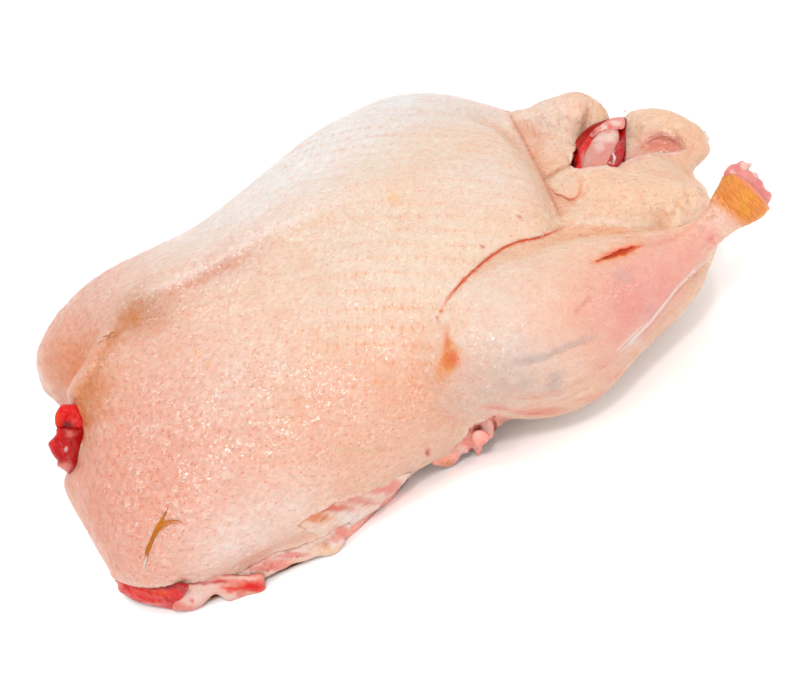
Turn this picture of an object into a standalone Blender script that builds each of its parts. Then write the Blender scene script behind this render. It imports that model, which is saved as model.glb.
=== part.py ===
"""Whole muscovy duck, plucked and drawn, laid on its back: one closed solid.

Metres, +Z up. +X runs from the neck end to the tail, +Z from the back to the breastbone,
and the bird's right leg is on the -Y side.
"""

import math

import bmesh
import bpy
from mathutils import Matrix, Vector

# Driving sizes
BREAST_LENGTH = 0.270
BREAST_HALF_WIDTH = 0.111
KEEL_HEIGHT = 0.125
BELLY_END = 0.349
THIGH_RADIUS = 0.037
SHANK_RADIUS = 0.0095
HOCK_RADIUS = 0.0130
NECK_RADIUS = 0.014
FRONT_NOTCH_DEPTH = 0.024
FRONT_NOTCH_WIDTH = 0.017
KEEL_RIDGE = 0.0030
KEEL_VALLEY = 0.0040
OPENING_LENGTH = 0.030
OPENING_WIDTH = 0.033
OPENING_DEPTH = 0.030
REST_CUT = 0.0030

# Fineness
RING_POINTS = 72
RING_COUNT = 60
LIMB_STEPS = 36
LIMB_POINTS = 28
VOXEL = 0.0030
TRIANGLES = 9400

SKIN_COLOUR = (0.905, 0.680, 0.560, 1.0)

# Cross sections of the breast: place along the body, half width on the right side and on
# the left, height of the widest place, top, underside, and how square the section is at
# the top right, the top left and below
BREAST_SECTIONS = [
    (-0.002, 0.058, 0.060, 0.038, 0.066, 0.014, 2.2, 2.1, 2.2),
    (0.005, 0.086, 0.088, 0.040, 0.086, 0.006, 2.0, 2.0, 2.4),
    (0.020, 0.105, 0.104, 0.041, 0.104, 0.002, 1.8, 1.85, 2.6),
    (0.045, BREAST_HALF_WIDTH, 0.110, 0.042, 0.115, 0.000, 1.7, 1.75, 2.8),
    (0.075, BREAST_HALF_WIDTH, 0.110, 0.044, 0.119, 0.000, 1.7, 1.72, 2.8),
    (0.105, 0.109, 0.109, 0.047, 0.122, 0.000, 1.7, 1.74, 2.8),
    (0.140, 0.102, 0.108, 0.052, 0.124, 0.000, 1.75, 2.3, 2.8),
    (0.175, 0.096, 0.111, 0.055, KEEL_HEIGHT, 0.001, 1.9, 3.2, 2.8),
    (0.205, 0.091, 0.113, 0.056, 0.122, 0.002, 2.0, 3.4, 2.7),
    (0.232, 0.085, 0.101, 0.056, 0.117, 0.004, 2.1, 3.0, 2.5),
    (0.253, 0.074, 0.083, 0.058, 0.110, 0.012, 2.3, 2.6, 2.3),
    (0.264, 0.058, 0.062, 0.062, 0.103, 0.026, 2.5, 2.4, 2.1),
    (BREAST_LENGTH, 0.034, 0.034, 0.066, 0.092, 0.044, 2.4, 2.2, 2.0),
]
# The same for the belly and the rump, which reach under the breast
BELLY_SECTIONS = [
    (0.170, 0.078, 0.082, 0.044, 0.080, 0.003, 2.2, 2.2, 2.5),
    (0.210, 0.082, 0.086, 0.046, 0.088, 0.002, 2.2, 2.2, 2.5),
    (0.250, 0.080, 0.082, 0.046, 0.092, 0.004, 2.3, 2.3, 2.4),
    (0.285, 0.073, 0.076, 0.045, 0.090, 0.008, 2.4, 2.3, 2.3),
    (0.310, 0.063, 0.070, 0.044, 0.083, 0.012, 2.4, 2.3, 2.2),
    (0.330, 0.047, 0.056, 0.043, 0.073, 0.018, 2.3, 2.2, 2.1),
    (0.343, 0.029, 0.034, 0.043, 0.058, 0.027, 2.1, 2.1, 2.0),
    (BELLY_END, 0.014, 0.016, 0.043, 0.050, 0.036, 2.0, 2.0, 2.0),
]

# Round limbs and lobes: beads of (x, y, z, radius) from root to end
RIGHT_LEG = [
    (0.165, -0.062, 0.058, 0.024),
    (0.188, -0.068, 0.061, 0.031),
    (0.212, -0.073, 0.063, 0.036),
    (0.238, -0.075, 0.062, THIGH_RADIUS),
    (0.266, -0.073, 0.063, 0.032),
    (0.296, -0.071, 0.066, 0.021),
    (0.322, -0.070, 0.070, SHANK_RADIUS * 1.05),
    (0.340, -0.068, 0.076, SHANK_RADIUS),
    (0.353, -0.065, 0.081, HOCK_RADIUS),
    (0.360, -0.063, 0.085, HOCK_RADIUS * 0.95),
]
RIGHT_LEG_BAG = [
    (0.218, -0.066, 0.049, 0.033),
    (0.246, -0.070, 0.047, 0.035),
    (0.274, -0.064, 0.047, 0.0262),
    (0.306, -0.053, 0.048, 0.021),
    (0.324, -0.044, 0.051, 0.014),
]
LEFT_LEG = [
    (0.172, 0.074, 0.072, 0.022),
    (0.196, 0.080, 0.078, 0.032),
    (0.222, 0.081, 0.076, THIGH_RADIUS),
    (0.250, 0.077, 0.064, 0.033),
    (0.278, 0.073, 0.054, 0.025),
    (0.302, 0.070, 0.046, 0.015),
    (0.319, 0.067, 0.040, SHANK_RADIUS),
    (0.333, 0.064, 0.036, SHANK_RADIUS),
    (0.342, 0.062, 0.034, HOCK_RADIUS),
    (0.348, 0.061, 0.033, HOCK_RADIUS * 0.92),
]
LEFT_LEG_BAG = [
    (0.222, 0.066, 0.049, 0.031),
    (0.250, 0.068, 0.046, 0.031),
    (0.276, 0.063, 0.044, 0.027),
    (0.302, 0.056, 0.044, 0.022),
    (0.322, 0.050, 0.043, 0.017),
    (0.336, 0.047, 0.042, 0.013),
]
LEFT_LOBE = [
    (0.256, 0.064, 0.068, 0.020),
    (0.274, 0.062, 0.072, 0.021),
    (0.291, 0.060, 0.0745, 0.0205),
    (0.304, 0.057, 0.0755, 0.0178),
    (0.3125, 0.054, 0.0745, 0.013),
]
TAIL_LOBE = [
    (0.3235, 0.056, 0.062, 0.0115),
    (0.333, 0.048, 0.062, 0.0142),
    (0.3415, 0.035, 0.062, 0.0150),
    (0.346, 0.022, 0.059, 0.0118),
    (0.345, 0.014, 0.056, 0.008),
]
BELLY_LOBE = [
    (0.278, -0.020, 0.070, 0.018),
    (0.296, -0.022, 0.068, 0.020),
    (0.316, -0.024, 0.062, 0.019),
    (0.332, -0.026, 0.055, 0.015),
    (0.340, -0.028, 0.050, 0.010),
]
NECK_STUB = [
    (0.020, 0.004, 0.046, NECK_RADIUS * 1.2),
    (0.008, 0.006, 0.046, NECK_RADIUS),
    (0.000, 0.008, 0.047, NECK_RADIUS * 0.85),
]
RIGHT_WING_STUB = [
    (0.006, -0.062, 0.010, 0.008),
    (0.018, -0.076, 0.011, 0.012),
    (0.036, -0.089, 0.010, 0.013),
    (0.056, -0.095, 0.009, 0.011),
    (0.072, -0.096, 0.008, 0.008),
]
RIGHT_FLANK_FOLD = [
    (0.064, -0.090, 0.008, 0.010),
    (0.090, -0.091, 0.010, 0.013),
    (0.118, -0.088, 0.010, 0.013),
    (0.142, -0.074, 0.010, 0.011),
    (0.156, -0.062, 0.010, 0.008),
]
RIGHT_SCRAP = [
    (0.168, -0.062, 0.014, 0.008),
    (0.180, -0.070, 0.013, 0.009),
    (0.194, -0.072, 0.014, 0.007),
    (0.202, -0.070, 0.016, 0.005),
]


# The body opening and the slit that runs back from it, cut as two eggs
OPENING_PLACE = (0.3085, 0.030, 0.086)
OPENING_RADII = (OPENING_LENGTH / 2, OPENING_WIDTH / 2, OPENING_DEPTH)
OPENING_TURN = Matrix.Rotation(math.radians(10), 3, "Z")
SLIT_PLACE = (0.331, 0.017, 0.073)
SLIT_RADII = (0.017, 0.005, 0.014)
SLIT_TURN = Matrix.Rotation(math.radians(-20), 3, "Z")


def catmull(values, t):
    """A smooth value at t, from 0 to 1, through evenly indexed values."""
    last = len(values) - 1
    place = min(max(t, 0.0), 1.0) * last
    i = min(int(place), last - 1)
    u = place - i
    p0, p1, p2, p3 = (values[min(max(j, 0), last)] for j in (i - 1, i, i + 1, i + 2))
    line = 2 * p1 + (p2 - p0) * u
    square = (2 * p0 - 5 * p1 + 4 * p2 - p3) * u ** 2
    cube = (3 * p1 - p0 - 3 * p2 + p3) * u ** 3
    return 0.5 * (line + square + cube)


def blend(rows, t):
    """Every column of the rows at t, from 0 to 1."""
    return [catmull(column, t) for column in zip(*rows)]


def step(low, high, value):
    """0 below low, 1 above high and smooth between."""
    t = min(max((value - low) / (high - low), 0.0), 1.0)
    return t * t * (3 - 2 * t)


def hill(value, centre, width):
    """A smooth bump of height 1."""
    return math.exp(-((value - centre) / width) ** 2)


def section_ring(row):
    """One closed cross section of the body, squarer or rounder in each quarter."""
    x, right, left, middle, top, under, square_right, square_left, square_low = row
    ring = []
    for i in range(RING_POINTS):
        angle = 2 * math.pi * i / RING_POINTS
        side = math.sin(angle)
        rise = math.cos(angle)
        power = square_low
        height = middle - under
        if rise > 0:
            power = square_left if side > 0 else square_right
            height = top - middle
        width = left if side > 0 else right
        y = width * math.copysign(abs(side) ** (2 / power), side)
        z = middle + height * math.copysign(abs(rise) ** (2 / power), rise)
        ring.append(Vector((x, y, z)))
    return ring


def crest(point):
    """The keel's low ridge with the hollow beside it, and the notch at the front."""
    over = step(0.045, 0.080, point.z)
    along = step(0.040, 0.080, point.x) * (1 - step(0.190, 0.250, point.x))
    ridge = KEEL_RIDGE * hill(point.y, 0.0, 0.009)
    valley = KEEL_VALLEY * hill(point.y, -0.025, 0.014)
    front = FRONT_NOTCH_DEPTH * (1 - step(0.012, 0.062, point.x)) * hill(point.y, 0.002, FRONT_NOTCH_WIDTH)
    lift = over * along * (ridge - valley) - step(0.030, 0.060, point.z) * front
    return point + Vector((0.0, 0.0, lift))


def loft(name, rings):
    """Closed skin over rings of equal count, each end drawn to its middle."""
    bm = bmesh.new()
    rows = [[bm.verts.new(point) for point in ring] for ring in rings]
    count = len(rows[0])
    for first, second in zip(rows, rows[1:]):
        for i in range(count):
            j = (i + 1) % count
            bm.faces.new((first[i], first[j], second[j], second[i]))
    for row in (rows[0], rows[-1]):
        hub = bm.verts.new(sum((v.co for v in row), Vector()) / count)
        for i in range(count):
            bm.faces.new((row[i], row[(i + 1) % count], hub))
    bmesh.ops.recalc_face_normals(bm, faces=bm.faces)
    mesh = bpy.data.meshes.new(name)
    bm.to_mesh(mesh)
    bm.free()
    return mesh


def body_loft(name, sections):
    """A long body from its cross sections."""
    rings = [section_ring(blend(sections, i / (RING_COUNT - 1))) for i in range(RING_COUNT)]
    return loft(name, [[crest(point) for point in ring] for ring in rings])


def limb(name, beads, flat=1.0):
    """A tapering round limb with a domed end; flat below 1 presses it down."""
    line = [blend(beads, i / (LIMB_STEPS - 1)) for i in range(LIMB_STEPS)]
    rings = []
    for i, (x, y, z, radius) in enumerate(line):
        before = Vector(line[max(i - 1, 0)][:3])
        after = Vector(line[min(i + 1, LIMB_STEPS - 1)][:3])
        along = (after - before).normalized()
        side = along.cross(Vector((0, 0, 1))).normalized()
        up = side.cross(along)
        ring = []
        for j in range(LIMB_POINTS):
            angle = 2 * math.pi * j / LIMB_POINTS
            out = math.cos(angle) * side + math.sin(angle) * flat * up
            ring.append(Vector((x, y, z)) + radius * out)
        rings.append(ring)
    end = Vector(line[-1][:3])
    heading = (end - Vector(line[-2][:3])).normalized()
    for turn in (0.35, 0.7, 0.9):
        reach = line[-1][3] * math.sin(turn * math.pi / 2) * 0.6
        size = math.cos(turn * math.pi / 2)
        rings.append([end + heading * reach + (point - end) * size for point in rings[LIMB_STEPS - 1]])
    return loft(name, rings)


def lens(name, place, radii, turn):
    """An egg shape, turned about Z, that cuts the body opening."""
    bm = bmesh.new()
    bmesh.ops.create_uvsphere(bm, u_segments=32, v_segments=20, radius=1)
    bmesh.ops.scale(bm, vec=Vector(radii), verts=bm.verts)
    bmesh.ops.rotate(bm, matrix=turn, verts=bm.verts)
    bmesh.ops.translate(bm, vec=Vector(place), verts=bm.verts)
    mesh = bpy.data.meshes.new(name)
    bm.to_mesh(mesh)
    bm.free()
    return mesh


def rest_block():
    """A slab whose top face cuts the flat place the duck rests on."""
    bm = bmesh.new()
    bmesh.ops.create_cube(bm, size=1.0)
    bmesh.ops.scale(bm, vec=Vector((0.6, 0.5, 0.1)), verts=bm.verts)
    bmesh.ops.translate(bm, vec=Vector((0.17, 0.0, REST_CUT - 0.05)), verts=bm.verts)
    mesh = bpy.data.meshes.new("rest")
    bm.to_mesh(mesh)
    bm.free()
    return mesh


def add_object(name, mesh, collection):
    """An object for the mesh, in the collection."""
    obj = bpy.data.objects.new(name, mesh)
    collection.objects.link(obj)
    return obj


def cutter(name, mesh, collection):
    """A mesh that only cuts: drawn as wire and never rendered."""
    obj = add_object(name, mesh, collection)
    obj.hide_render = True
    obj.display_type = "WIRE"
    return obj


def skin_material():
    material = bpy.data.materials.new("raw skin")
    material.use_nodes = True
    shader = material.node_tree.nodes["Principled BSDF"]
    shader.inputs["Base Color"].default_value = SKIN_COLOUR
    shader.inputs["Roughness"].default_value = 0.42
    shader.inputs["Metallic"].default_value = 0.0
    return material


def joined_pieces():
    """All bodies, limbs and lobes in one mesh, still overlapping."""
    pieces = [
        body_loft("breast", BREAST_SECTIONS),
        body_loft("belly", BELLY_SECTIONS),
        limb("right leg", RIGHT_LEG),
        limb("right leg bag", RIGHT_LEG_BAG),
        limb("left leg", LEFT_LEG),
        limb("left leg bag", LEFT_LEG_BAG),
        limb("left lobe", LEFT_LOBE),
        limb("tail lobe", TAIL_LOBE),
        limb("belly lobe", BELLY_LOBE),
        limb("neck stub", NECK_STUB),
        limb("right wing stub", RIGHT_WING_STUB, 0.75),
        limb("right flank fold", RIGHT_FLANK_FOLD, 0.7),
        limb("right scrap", RIGHT_SCRAP, 0.8),
    ]
    for name, beads in (("left wing stub", RIGHT_WING_STUB), ("left flank fold", RIGHT_FLANK_FOLD)):
        pieces.append(limb(name, [(x, -y, z, radius) for x, y, z, radius in beads], 0.75))
    bm = bmesh.new()
    for mesh in pieces:
        bm.from_mesh(mesh)
        bpy.data.meshes.remove(mesh)
    mesh = bpy.data.meshes.new("duck")
    bm.to_mesh(mesh)
    bm.free()
    return mesh


def add_skin(obj, name, voxel, rounds):
    """Fuse what overlaps into one skin and soften its folds."""
    remesh = obj.modifiers.new(name, "REMESH")
    remesh.mode = "VOXEL"
    remesh.voxel_size = voxel
    smooth = obj.modifiers.new(name + " softened", "SMOOTH")
    smooth.factor = 0.5
    smooth.iterations = rounds


def add_boolean(obj, other, name):
    boolean = obj.modifiers.new(name, "BOOLEAN")
    boolean.operation = "DIFFERENCE"
    boolean.solver = "EXACT"
    boolean.object = other


def evaluated_mesh(obj):
    """The object's mesh with its modifiers applied."""
    bpy.context.view_layer.update()
    graph = bpy.context.evaluated_depsgraph_get()
    return bpy.data.meshes.new_from_object(obj.evaluated_get(graph), depsgraph=graph)


def bottom_centre(mesh):
    """The middle of the mesh's box, at its lowest height."""
    low = [min(v.co[k] for v in mesh.vertices) for k in range(3)]
    high = [max(v.co[k] for v in mesh.vertices) for k in range(3)]
    return Vector(((low[0] + high[0]) / 2, (low[1] + high[1]) / 2, low[2]))


def main():
    for obj in list(bpy.data.objects):
        bpy.data.objects.remove(obj)
    parts = bpy.data.collections.new("whole_duck")
    cutters = bpy.data.collections.new("cutters")
    bpy.context.scene.collection.children.link(parts)
    bpy.context.scene.collection.children.link(cutters)

    duck = add_object("duck", joined_pieces(), parts)
    add_skin(duck, "one skin", VOXEL, 8)
    opening = cutter("opening_cutter", lens("opening", OPENING_PLACE, OPENING_RADII, OPENING_TURN), cutters)
    add_boolean(duck, opening, "body opening")
    slit = cutter("slit_cutter", lens("slit", SLIT_PLACE, SLIT_RADII, SLIT_TURN), cutters)
    add_boolean(duck, slit, "slit behind the opening")
    add_skin(duck, "soft rims", VOXEL * 0.9, 2)

    full = evaluated_mesh(duck)
    full.calc_loop_triangles()
    duck.modifiers.clear()
    duck.data = full
    fewer = duck.modifiers.new("fewer facets", "DECIMATE")
    fewer.ratio = TRIANGLES / len(full.loop_triangles)
    table = cutter("rest_cutter", rest_block(), cutters)
    add_boolean(duck, table, "flat place it rests on")

    final = evaluated_mesh(duck)
    duck.modifiers.clear()
    origin = bottom_centre(final)
    for vertex in final.vertices:
        vertex.co -= origin
    final.shade_smooth()
    duck.data = final
    final.materials.clear()
    final.materials.append(skin_material())
    for other in (opening, slit, table):
        other.location -= origin


main()
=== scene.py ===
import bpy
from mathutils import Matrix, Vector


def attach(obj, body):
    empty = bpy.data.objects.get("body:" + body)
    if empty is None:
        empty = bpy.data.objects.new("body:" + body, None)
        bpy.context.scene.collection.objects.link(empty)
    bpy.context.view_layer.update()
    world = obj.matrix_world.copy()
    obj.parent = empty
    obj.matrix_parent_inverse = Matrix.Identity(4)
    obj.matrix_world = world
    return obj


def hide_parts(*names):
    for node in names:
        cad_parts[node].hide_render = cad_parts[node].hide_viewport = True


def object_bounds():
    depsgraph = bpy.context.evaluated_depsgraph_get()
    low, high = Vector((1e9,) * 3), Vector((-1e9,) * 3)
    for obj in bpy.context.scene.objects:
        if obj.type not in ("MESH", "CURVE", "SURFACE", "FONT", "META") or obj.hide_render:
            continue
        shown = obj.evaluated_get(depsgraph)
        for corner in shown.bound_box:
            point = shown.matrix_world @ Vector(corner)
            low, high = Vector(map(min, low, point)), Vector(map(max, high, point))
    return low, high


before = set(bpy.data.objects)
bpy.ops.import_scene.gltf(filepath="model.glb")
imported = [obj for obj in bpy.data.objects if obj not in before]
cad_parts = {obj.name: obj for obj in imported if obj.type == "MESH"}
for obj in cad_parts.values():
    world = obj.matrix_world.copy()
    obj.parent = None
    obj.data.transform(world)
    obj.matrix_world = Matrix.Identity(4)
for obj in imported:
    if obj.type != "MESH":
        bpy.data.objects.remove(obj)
cadBox = [list(corner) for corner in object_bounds()]

import math

import bmesh
import bpy
import numpy as np
from mathutils import Matrix, Vector
from mathutils.bvhtree import BVHTree
from mathutils.geometry import delaunay_2d_cdt

print("frame loaded, CAD box", cadBox)

# the camera stands over the near side and is turned so that the duck lies slanting
camera = {
    "target": (-0.0066, -0.0429, 0.0530),
    "azimuth": -1.0,
    "elevation": 35.0,
    "roll": 21.6,
    "distance": 1.3,
    "pixelsPerMetre": 2050.0,
    "frame": (800, 699),
}
focal = camera["pixelsPerMetre"] * camera["distance"]  # in pixels


def cameraAxes():
    # the camera's right, up and backward directions
    a, e, r = (math.radians(camera[key]) for key in ("azimuth", "elevation", "roll"))
    back = Vector((math.sin(a) * math.cos(e), -math.cos(a) * math.cos(e), math.sin(e)))
    level = Vector((math.cos(a), math.sin(a), 0.0))
    up = back.cross(level)
    return level * math.cos(r) - up * math.sin(r), level * math.sin(r) + up * math.cos(r), back


def makeCamera():
    right, up, back = cameraAxes()
    data = bpy.data.cameras.new("camera")
    data.sensor_width = 36.0
    data.lens = focal / camera["frame"][0] * data.sensor_width
    data.clip_start = 0.05
    obj = bpy.data.objects.new("camera", data)
    place = Vector(camera["target"]) + back * camera["distance"]
    turn = Matrix((right, up, back)).transposed().to_4x4()
    obj.matrix_world = Matrix.Translation(place) @ turn
    bpy.context.scene.collection.objects.link(obj)
    bpy.context.scene.camera = obj


def rayThrough(px, py):
    # the camera's place and the direction in which it sees a pixel
    right, up, back = cameraAxes()
    width, height = camera["frame"]
    look = right * ((px - width / 2) / focal) - up * ((py - height / 2) / focal) - back
    return Vector(camera["target"]) + back * camera["distance"], look.normalized()


makeCamera()
print("camera placed")

# soft studio light and a plain pale floor
studio = {
    "floor": (0.95, 0.95, 0.955),
    "world": 1.15,
    "lights": [
        # name, place, aimed at, size, power, colour
        ("key", (-0.05, -1.10, 1.35), (0.0, 0.0, 0.05), 0.18, 8.0, (1.0, 0.99, 0.97)),
        ("keyHigh", (-0.20, -0.52, 1.69), (0.0, 0.0, 0.05), 0.14, 3.5, (1.0, 0.99, 0.97)),
        ("keyLeft", (-0.80, -0.80, 1.38), (0.0, 0.0, 0.05), 0.14, 2.5, (1.0, 0.99, 0.97)),
        ("keyTop", (-0.03, 0.59, 1.65), (0.0, 0.0, 0.05), 0.14, 2.5, (1.0, 0.995, 0.985)),
        ("keyRight", (0.57, 0.05, 1.65), (0.0, 0.0, 0.05), 0.14, 2.5, (1.0, 0.995, 0.985)),
        ("left", (-1.20, -0.75, 0.60), (-0.12, -0.05, 0.05), 0.7, 1.6, (1.0, 0.99, 0.97)),
        ("front", (-0.15, -1.25, 0.30), (0.0, 0.0, 0.05), 0.9, 3.4, (1.0, 0.985, 0.97)),
        ("back", (-0.3, 1.3, 1.1), (0.0, 0.0, 0.08), 0.9, 4.5, (0.975, 0.99, 1.0)),
        ("right", (1.1, -0.6, 0.8), (0.1, 0.0, 0.05), 0.8, 3.6, (1.0, 0.99, 0.98)),
    ],
}


class Wire:
    # an output socket of a node. Sums on it add Math nodes
    def __init__(self, tree, socket=None):
        self.tree = tree
        self.socket = socket

    def make(self, kind, settings=None, inputs=None, output=0):
        node = self.tree.nodes.new("ShaderNode" + kind)
        for key, value in (settings or {}).items():
            setattr(node, key, value)
        for key, value in (inputs or {}).items():
            if isinstance(value, Wire):
                self.tree.links.new(value.socket, node.inputs[key])
            else:
                node.inputs[key].default_value = value
        return Wire(self.tree, node.outputs[output])

    def beside(self, output):
        # another output of the same node
        return Wire(self.tree, self.socket.node.outputs[output])

    def maths(self, operation, *values):
        return self.make("Math", {"operation": operation}, dict(enumerate(values)))

    def __add__(self, other):
        return self.maths("ADD", self, other)

    def __sub__(self, other):
        return self.maths("SUBTRACT", self, other)

    def __mul__(self, other):
        return self.maths("MULTIPLY", self, other)

    def __rsub__(self, other):
        return self.maths("SUBTRACT", other, self)

    __radd__ = __add__
    __rmul__ = __mul__

    def ramped(self, low, high, fromValue=0.0, toValue=1.0):
        inputs = {"Value": self, "From Min": low, "From Max": high, "To Min": fromValue, "To Max": toValue}
        return self.make("MapRange", {"interpolation_type": "SMOOTHSTEP"}, inputs)

    def mix(self, how, factor, first, second):
        settings = {"data_type": "RGBA", "blend_type": how, "clamp_result": False}
        return self.make("Mix", settings, {0: factor, 6: asColour(first), 7: asColour(second)}, 2)

    def times(self, colour):
        # this colour, multiplied by another
        return self.mix("MULTIPLY", 1.0, self, colour)

    def blended(self, first, second):
        # a colour between two, with this value as the factor
        return self.mix("MIX", self, first, second)


def asColour(value):
    return value if isinstance(value, Wire) else (*value[:3], 1.0)


def newMaterial(name, constants):
    # a material with its Principled shader, and a Wire to build on
    material = bpy.data.materials.new(name)
    material.use_nodes = True
    tree = material.node_tree
    shader = tree.nodes["Principled BSDF"]
    for key, value in constants.items():
        shader.inputs[key].default_value = value
    return material, shader, Wire(tree)


def plug(wire, shader, name):
    wire.tree.links.new(wire.socket, shader.inputs[name])


def fromSrgb(red, green, blue):
    # a colour given as 0 to 255, made linear
    parts = [v / 255 for v in (red, green, blue)]
    return tuple(v / 12.92 if v <= 0.04045 else ((v + 0.055) / 1.055) ** 2.4 for v in parts)


def makeStudio():
    scene = bpy.context.scene
    world = bpy.data.worlds.new("studio")
    world.use_nodes = True
    background = world.node_tree.nodes["Background"]
    background.inputs["Color"].default_value = (1.0, 1.0, 1.0, 1.0)
    background.inputs["Strength"].default_value = studio["world"]
    scene.world = world
    scene.view_settings.view_transform = "Standard"
    scene.view_settings.look = "None"
    for name, place, aim, size, power, colour in studio["lights"]:
        data = bpy.data.lights.new(name, "AREA")
        data.shape = "DISK"
        data.size = size
        data.energy = power
        data.color = colour
        obj = bpy.data.objects.new(name, data)
        obj.location = place
        obj.rotation_euler = (Vector(aim) - Vector(place)).to_track_quat("-Z", "Y").to_euler()
        scene.collection.objects.link(obj)
    mesh = bpy.data.meshes.new("floor")
    bm = bmesh.new()
    bmesh.ops.create_grid(bm, x_segments=1, y_segments=1, size=6.0)
    bm.to_mesh(mesh)
    bm.free()
    floor = bpy.data.objects.new("floor", mesh)
    scene.collection.objects.link(floor)
    constants = {"Roughness": 0.9, "Base Color": (*studio["floor"], 1.0)}
    mesh.materials.append(newMaterial("paleFloor", constants)[0])


makeStudio()
print("studio ready")


# numbers on meshes

def vectorsOf(collection, name):
    values = np.empty(len(collection) * 3, np.float32)
    collection.foreach_get(name, values)
    return values.reshape(-1, 3).astype(np.float64)


def pointsOf(mesh):
    return vectorsOf(mesh.vertices, "co")


def normalsOf(mesh):
    return vectorsOf(mesh.vertex_normals, "vector")


def movePoints(mesh, points):
    mesh.vertices.foreach_set("co", points.astype(np.float32).ravel())
    mesh.update()


def smoothStep(low, high, value):
    t = np.clip((value - low) / (high - low), 0.0, 1.0)
    return t * t * (3 - 2 * t)


def hill(distance, width):
    # 1 in the middle, falling to nothing
    return np.exp(-(distance / width) ** 2)


def awayFrom(points, spot):
    return np.linalg.norm(points - spot, axis=1)


def softNoise(points, size, seed):
    # smooth noise of about -1 to 1 whose lumps are size across
    grid = points / size
    base = np.floor(grid).astype(np.int64)
    part = grid - base
    part = part * part * (3 - 2 * part)
    total = np.zeros(len(points))
    for corner in range(8):
        step = np.array([corner & 1, corner >> 1 & 1, corner >> 2 & 1])
        cell = base + step
        key = cell[:, 0] * 73856093 ^ cell[:, 1] * 19349663 ^ cell[:, 2] * 83492791 ^ seed * 2654435761
        key = (key ^ key >> 13) * 1274126177 & 0x7FFFFFFF
        value = (key ^ key >> 16) % 65536 / 32767.5 - 1
        weight = np.prod(np.where(step == 1, part, 1 - part), axis=1)
        total += value * weight
    return total


def worked(mesh, steps, loose=None):
    # the mesh after modifiers, each given by its kind and settings. loose goes into a vertex group
    obj = bpy.data.objects.new("work", mesh)
    bpy.context.scene.collection.objects.link(obj)
    if loose is not None:
        group = obj.vertex_groups.new(name="loose")
        levels = np.round(loose * 4).astype(int)
        for level in range(5):
            group.add(np.nonzero(levels == level)[0].tolist(), level / 4, "REPLACE")
    for kind, settings in steps.items():
        modifier = obj.modifiers.new(kind.lower(), kind)
        for key, value in settings.items():
            setattr(modifier, key, value)
    bpy.context.view_layer.update()
    graph = bpy.context.evaluated_depsgraph_get()
    result = bpy.data.meshes.new_from_object(obj.evaluated_get(graph), depsgraph=graph)
    bpy.data.objects.remove(obj)
    return result


def remeshed(mesh, voxel, rounds):
    # one even skin over the mesh, smoothed
    even = {"mode": "VOXEL", "voxel_size": voxel}
    return worked(mesh, {"REMESH": even, "SMOOTH": {"factor": 0.5, "iterations": rounds}})


def thinned(mesh, loose, triangles):
    # fewer triangles, taken where loose is high
    mesh.calc_loop_triangles()
    ratio = min(1.0, triangles / len(mesh.loop_triangles))
    return worked(mesh, {"DECIMATE": {"vertex_group": "loose", "ratio": ratio}}, loose)


def treeOf(mesh):
    mesh.calc_loop_triangles()
    triangles = [tuple(t.vertices) for t in mesh.loop_triangles]
    return BVHTree.FromPolygons([v.co for v in mesh.vertices], triangles)


def hitAt(tree, px, py):
    # the point and normal where the camera's ray through a pixel meets the skin
    eye, look = rayThrough(px, py)
    point, normal, index, distance = tree.ray_cast(eye, look)
    if point is None:
        near, normal = tree.find_nearest(eye + look * camera["distance"])[:2]
        point = eye + look * (near - eye).dot(look)
    return point, normal


def evenly(points, count):
    # a smooth line through points in the picture or in space, evenly spaced
    points = [np.array([*p, 0.0]) if len(p) == 2 else np.array(p) for p in points]
    dense = []
    last = len(points) - 1
    for i in range(last):
        p0, p1, p2, p3 = (points[min(max(j, 0), last)] for j in (i - 1, i, i + 1, i + 2))
        for u in np.linspace(0, 1, 16, endpoint=False):
            dense.append(0.5 * (2 * p1 + (p2 - p0) * u + (2 * p0 - 5 * p1 + 4 * p2 - p3) * u ** 2
                                + (3 * p1 - p0 - 3 * p2 + p3) * u ** 3))
    dense.append(points[-1])
    dense = np.array(dense)
    lengths = np.concatenate([[0], np.cumsum(np.linalg.norm(np.diff(dense, axis=0), axis=1))])
    even = np.linspace(0, lengths[-1], count)
    return np.stack([np.interp(even, lengths, dense[:, k]) for k in range(3)], 1)


def addPiece(name, mesh, slot, material, replaced=None):
    # a finished piece of the duck
    obj = bpy.data.objects.new(name, mesh)
    bpy.context.scene.collection.objects.link(obj)
    mesh.materials.clear()
    mesh.materials.append(material)
    mesh.shade_smooth()
    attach(obj, "root")
    if replaced:
        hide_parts(replaced)


def pixelsOf(points):
    # where points show in the picture, and how far they are from the camera
    right, up, back = (np.array(axis) for axis in cameraAxes())
    away = points - (np.array(camera["target"]) + back * camera["distance"])
    depth = -(away @ back)
    width, height = camera["frame"]
    return width / 2 + away @ right / depth * focal, height / 2 - away @ up / depth * focal, depth


def towardsCamera(points):
    # the direction to the camera from each point
    back = np.array(cameraAxes()[2])
    away = np.array(camera["target"]) + back * camera["distance"] - points
    return away / np.linalg.norm(away, axis=1)[:, None]


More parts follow.
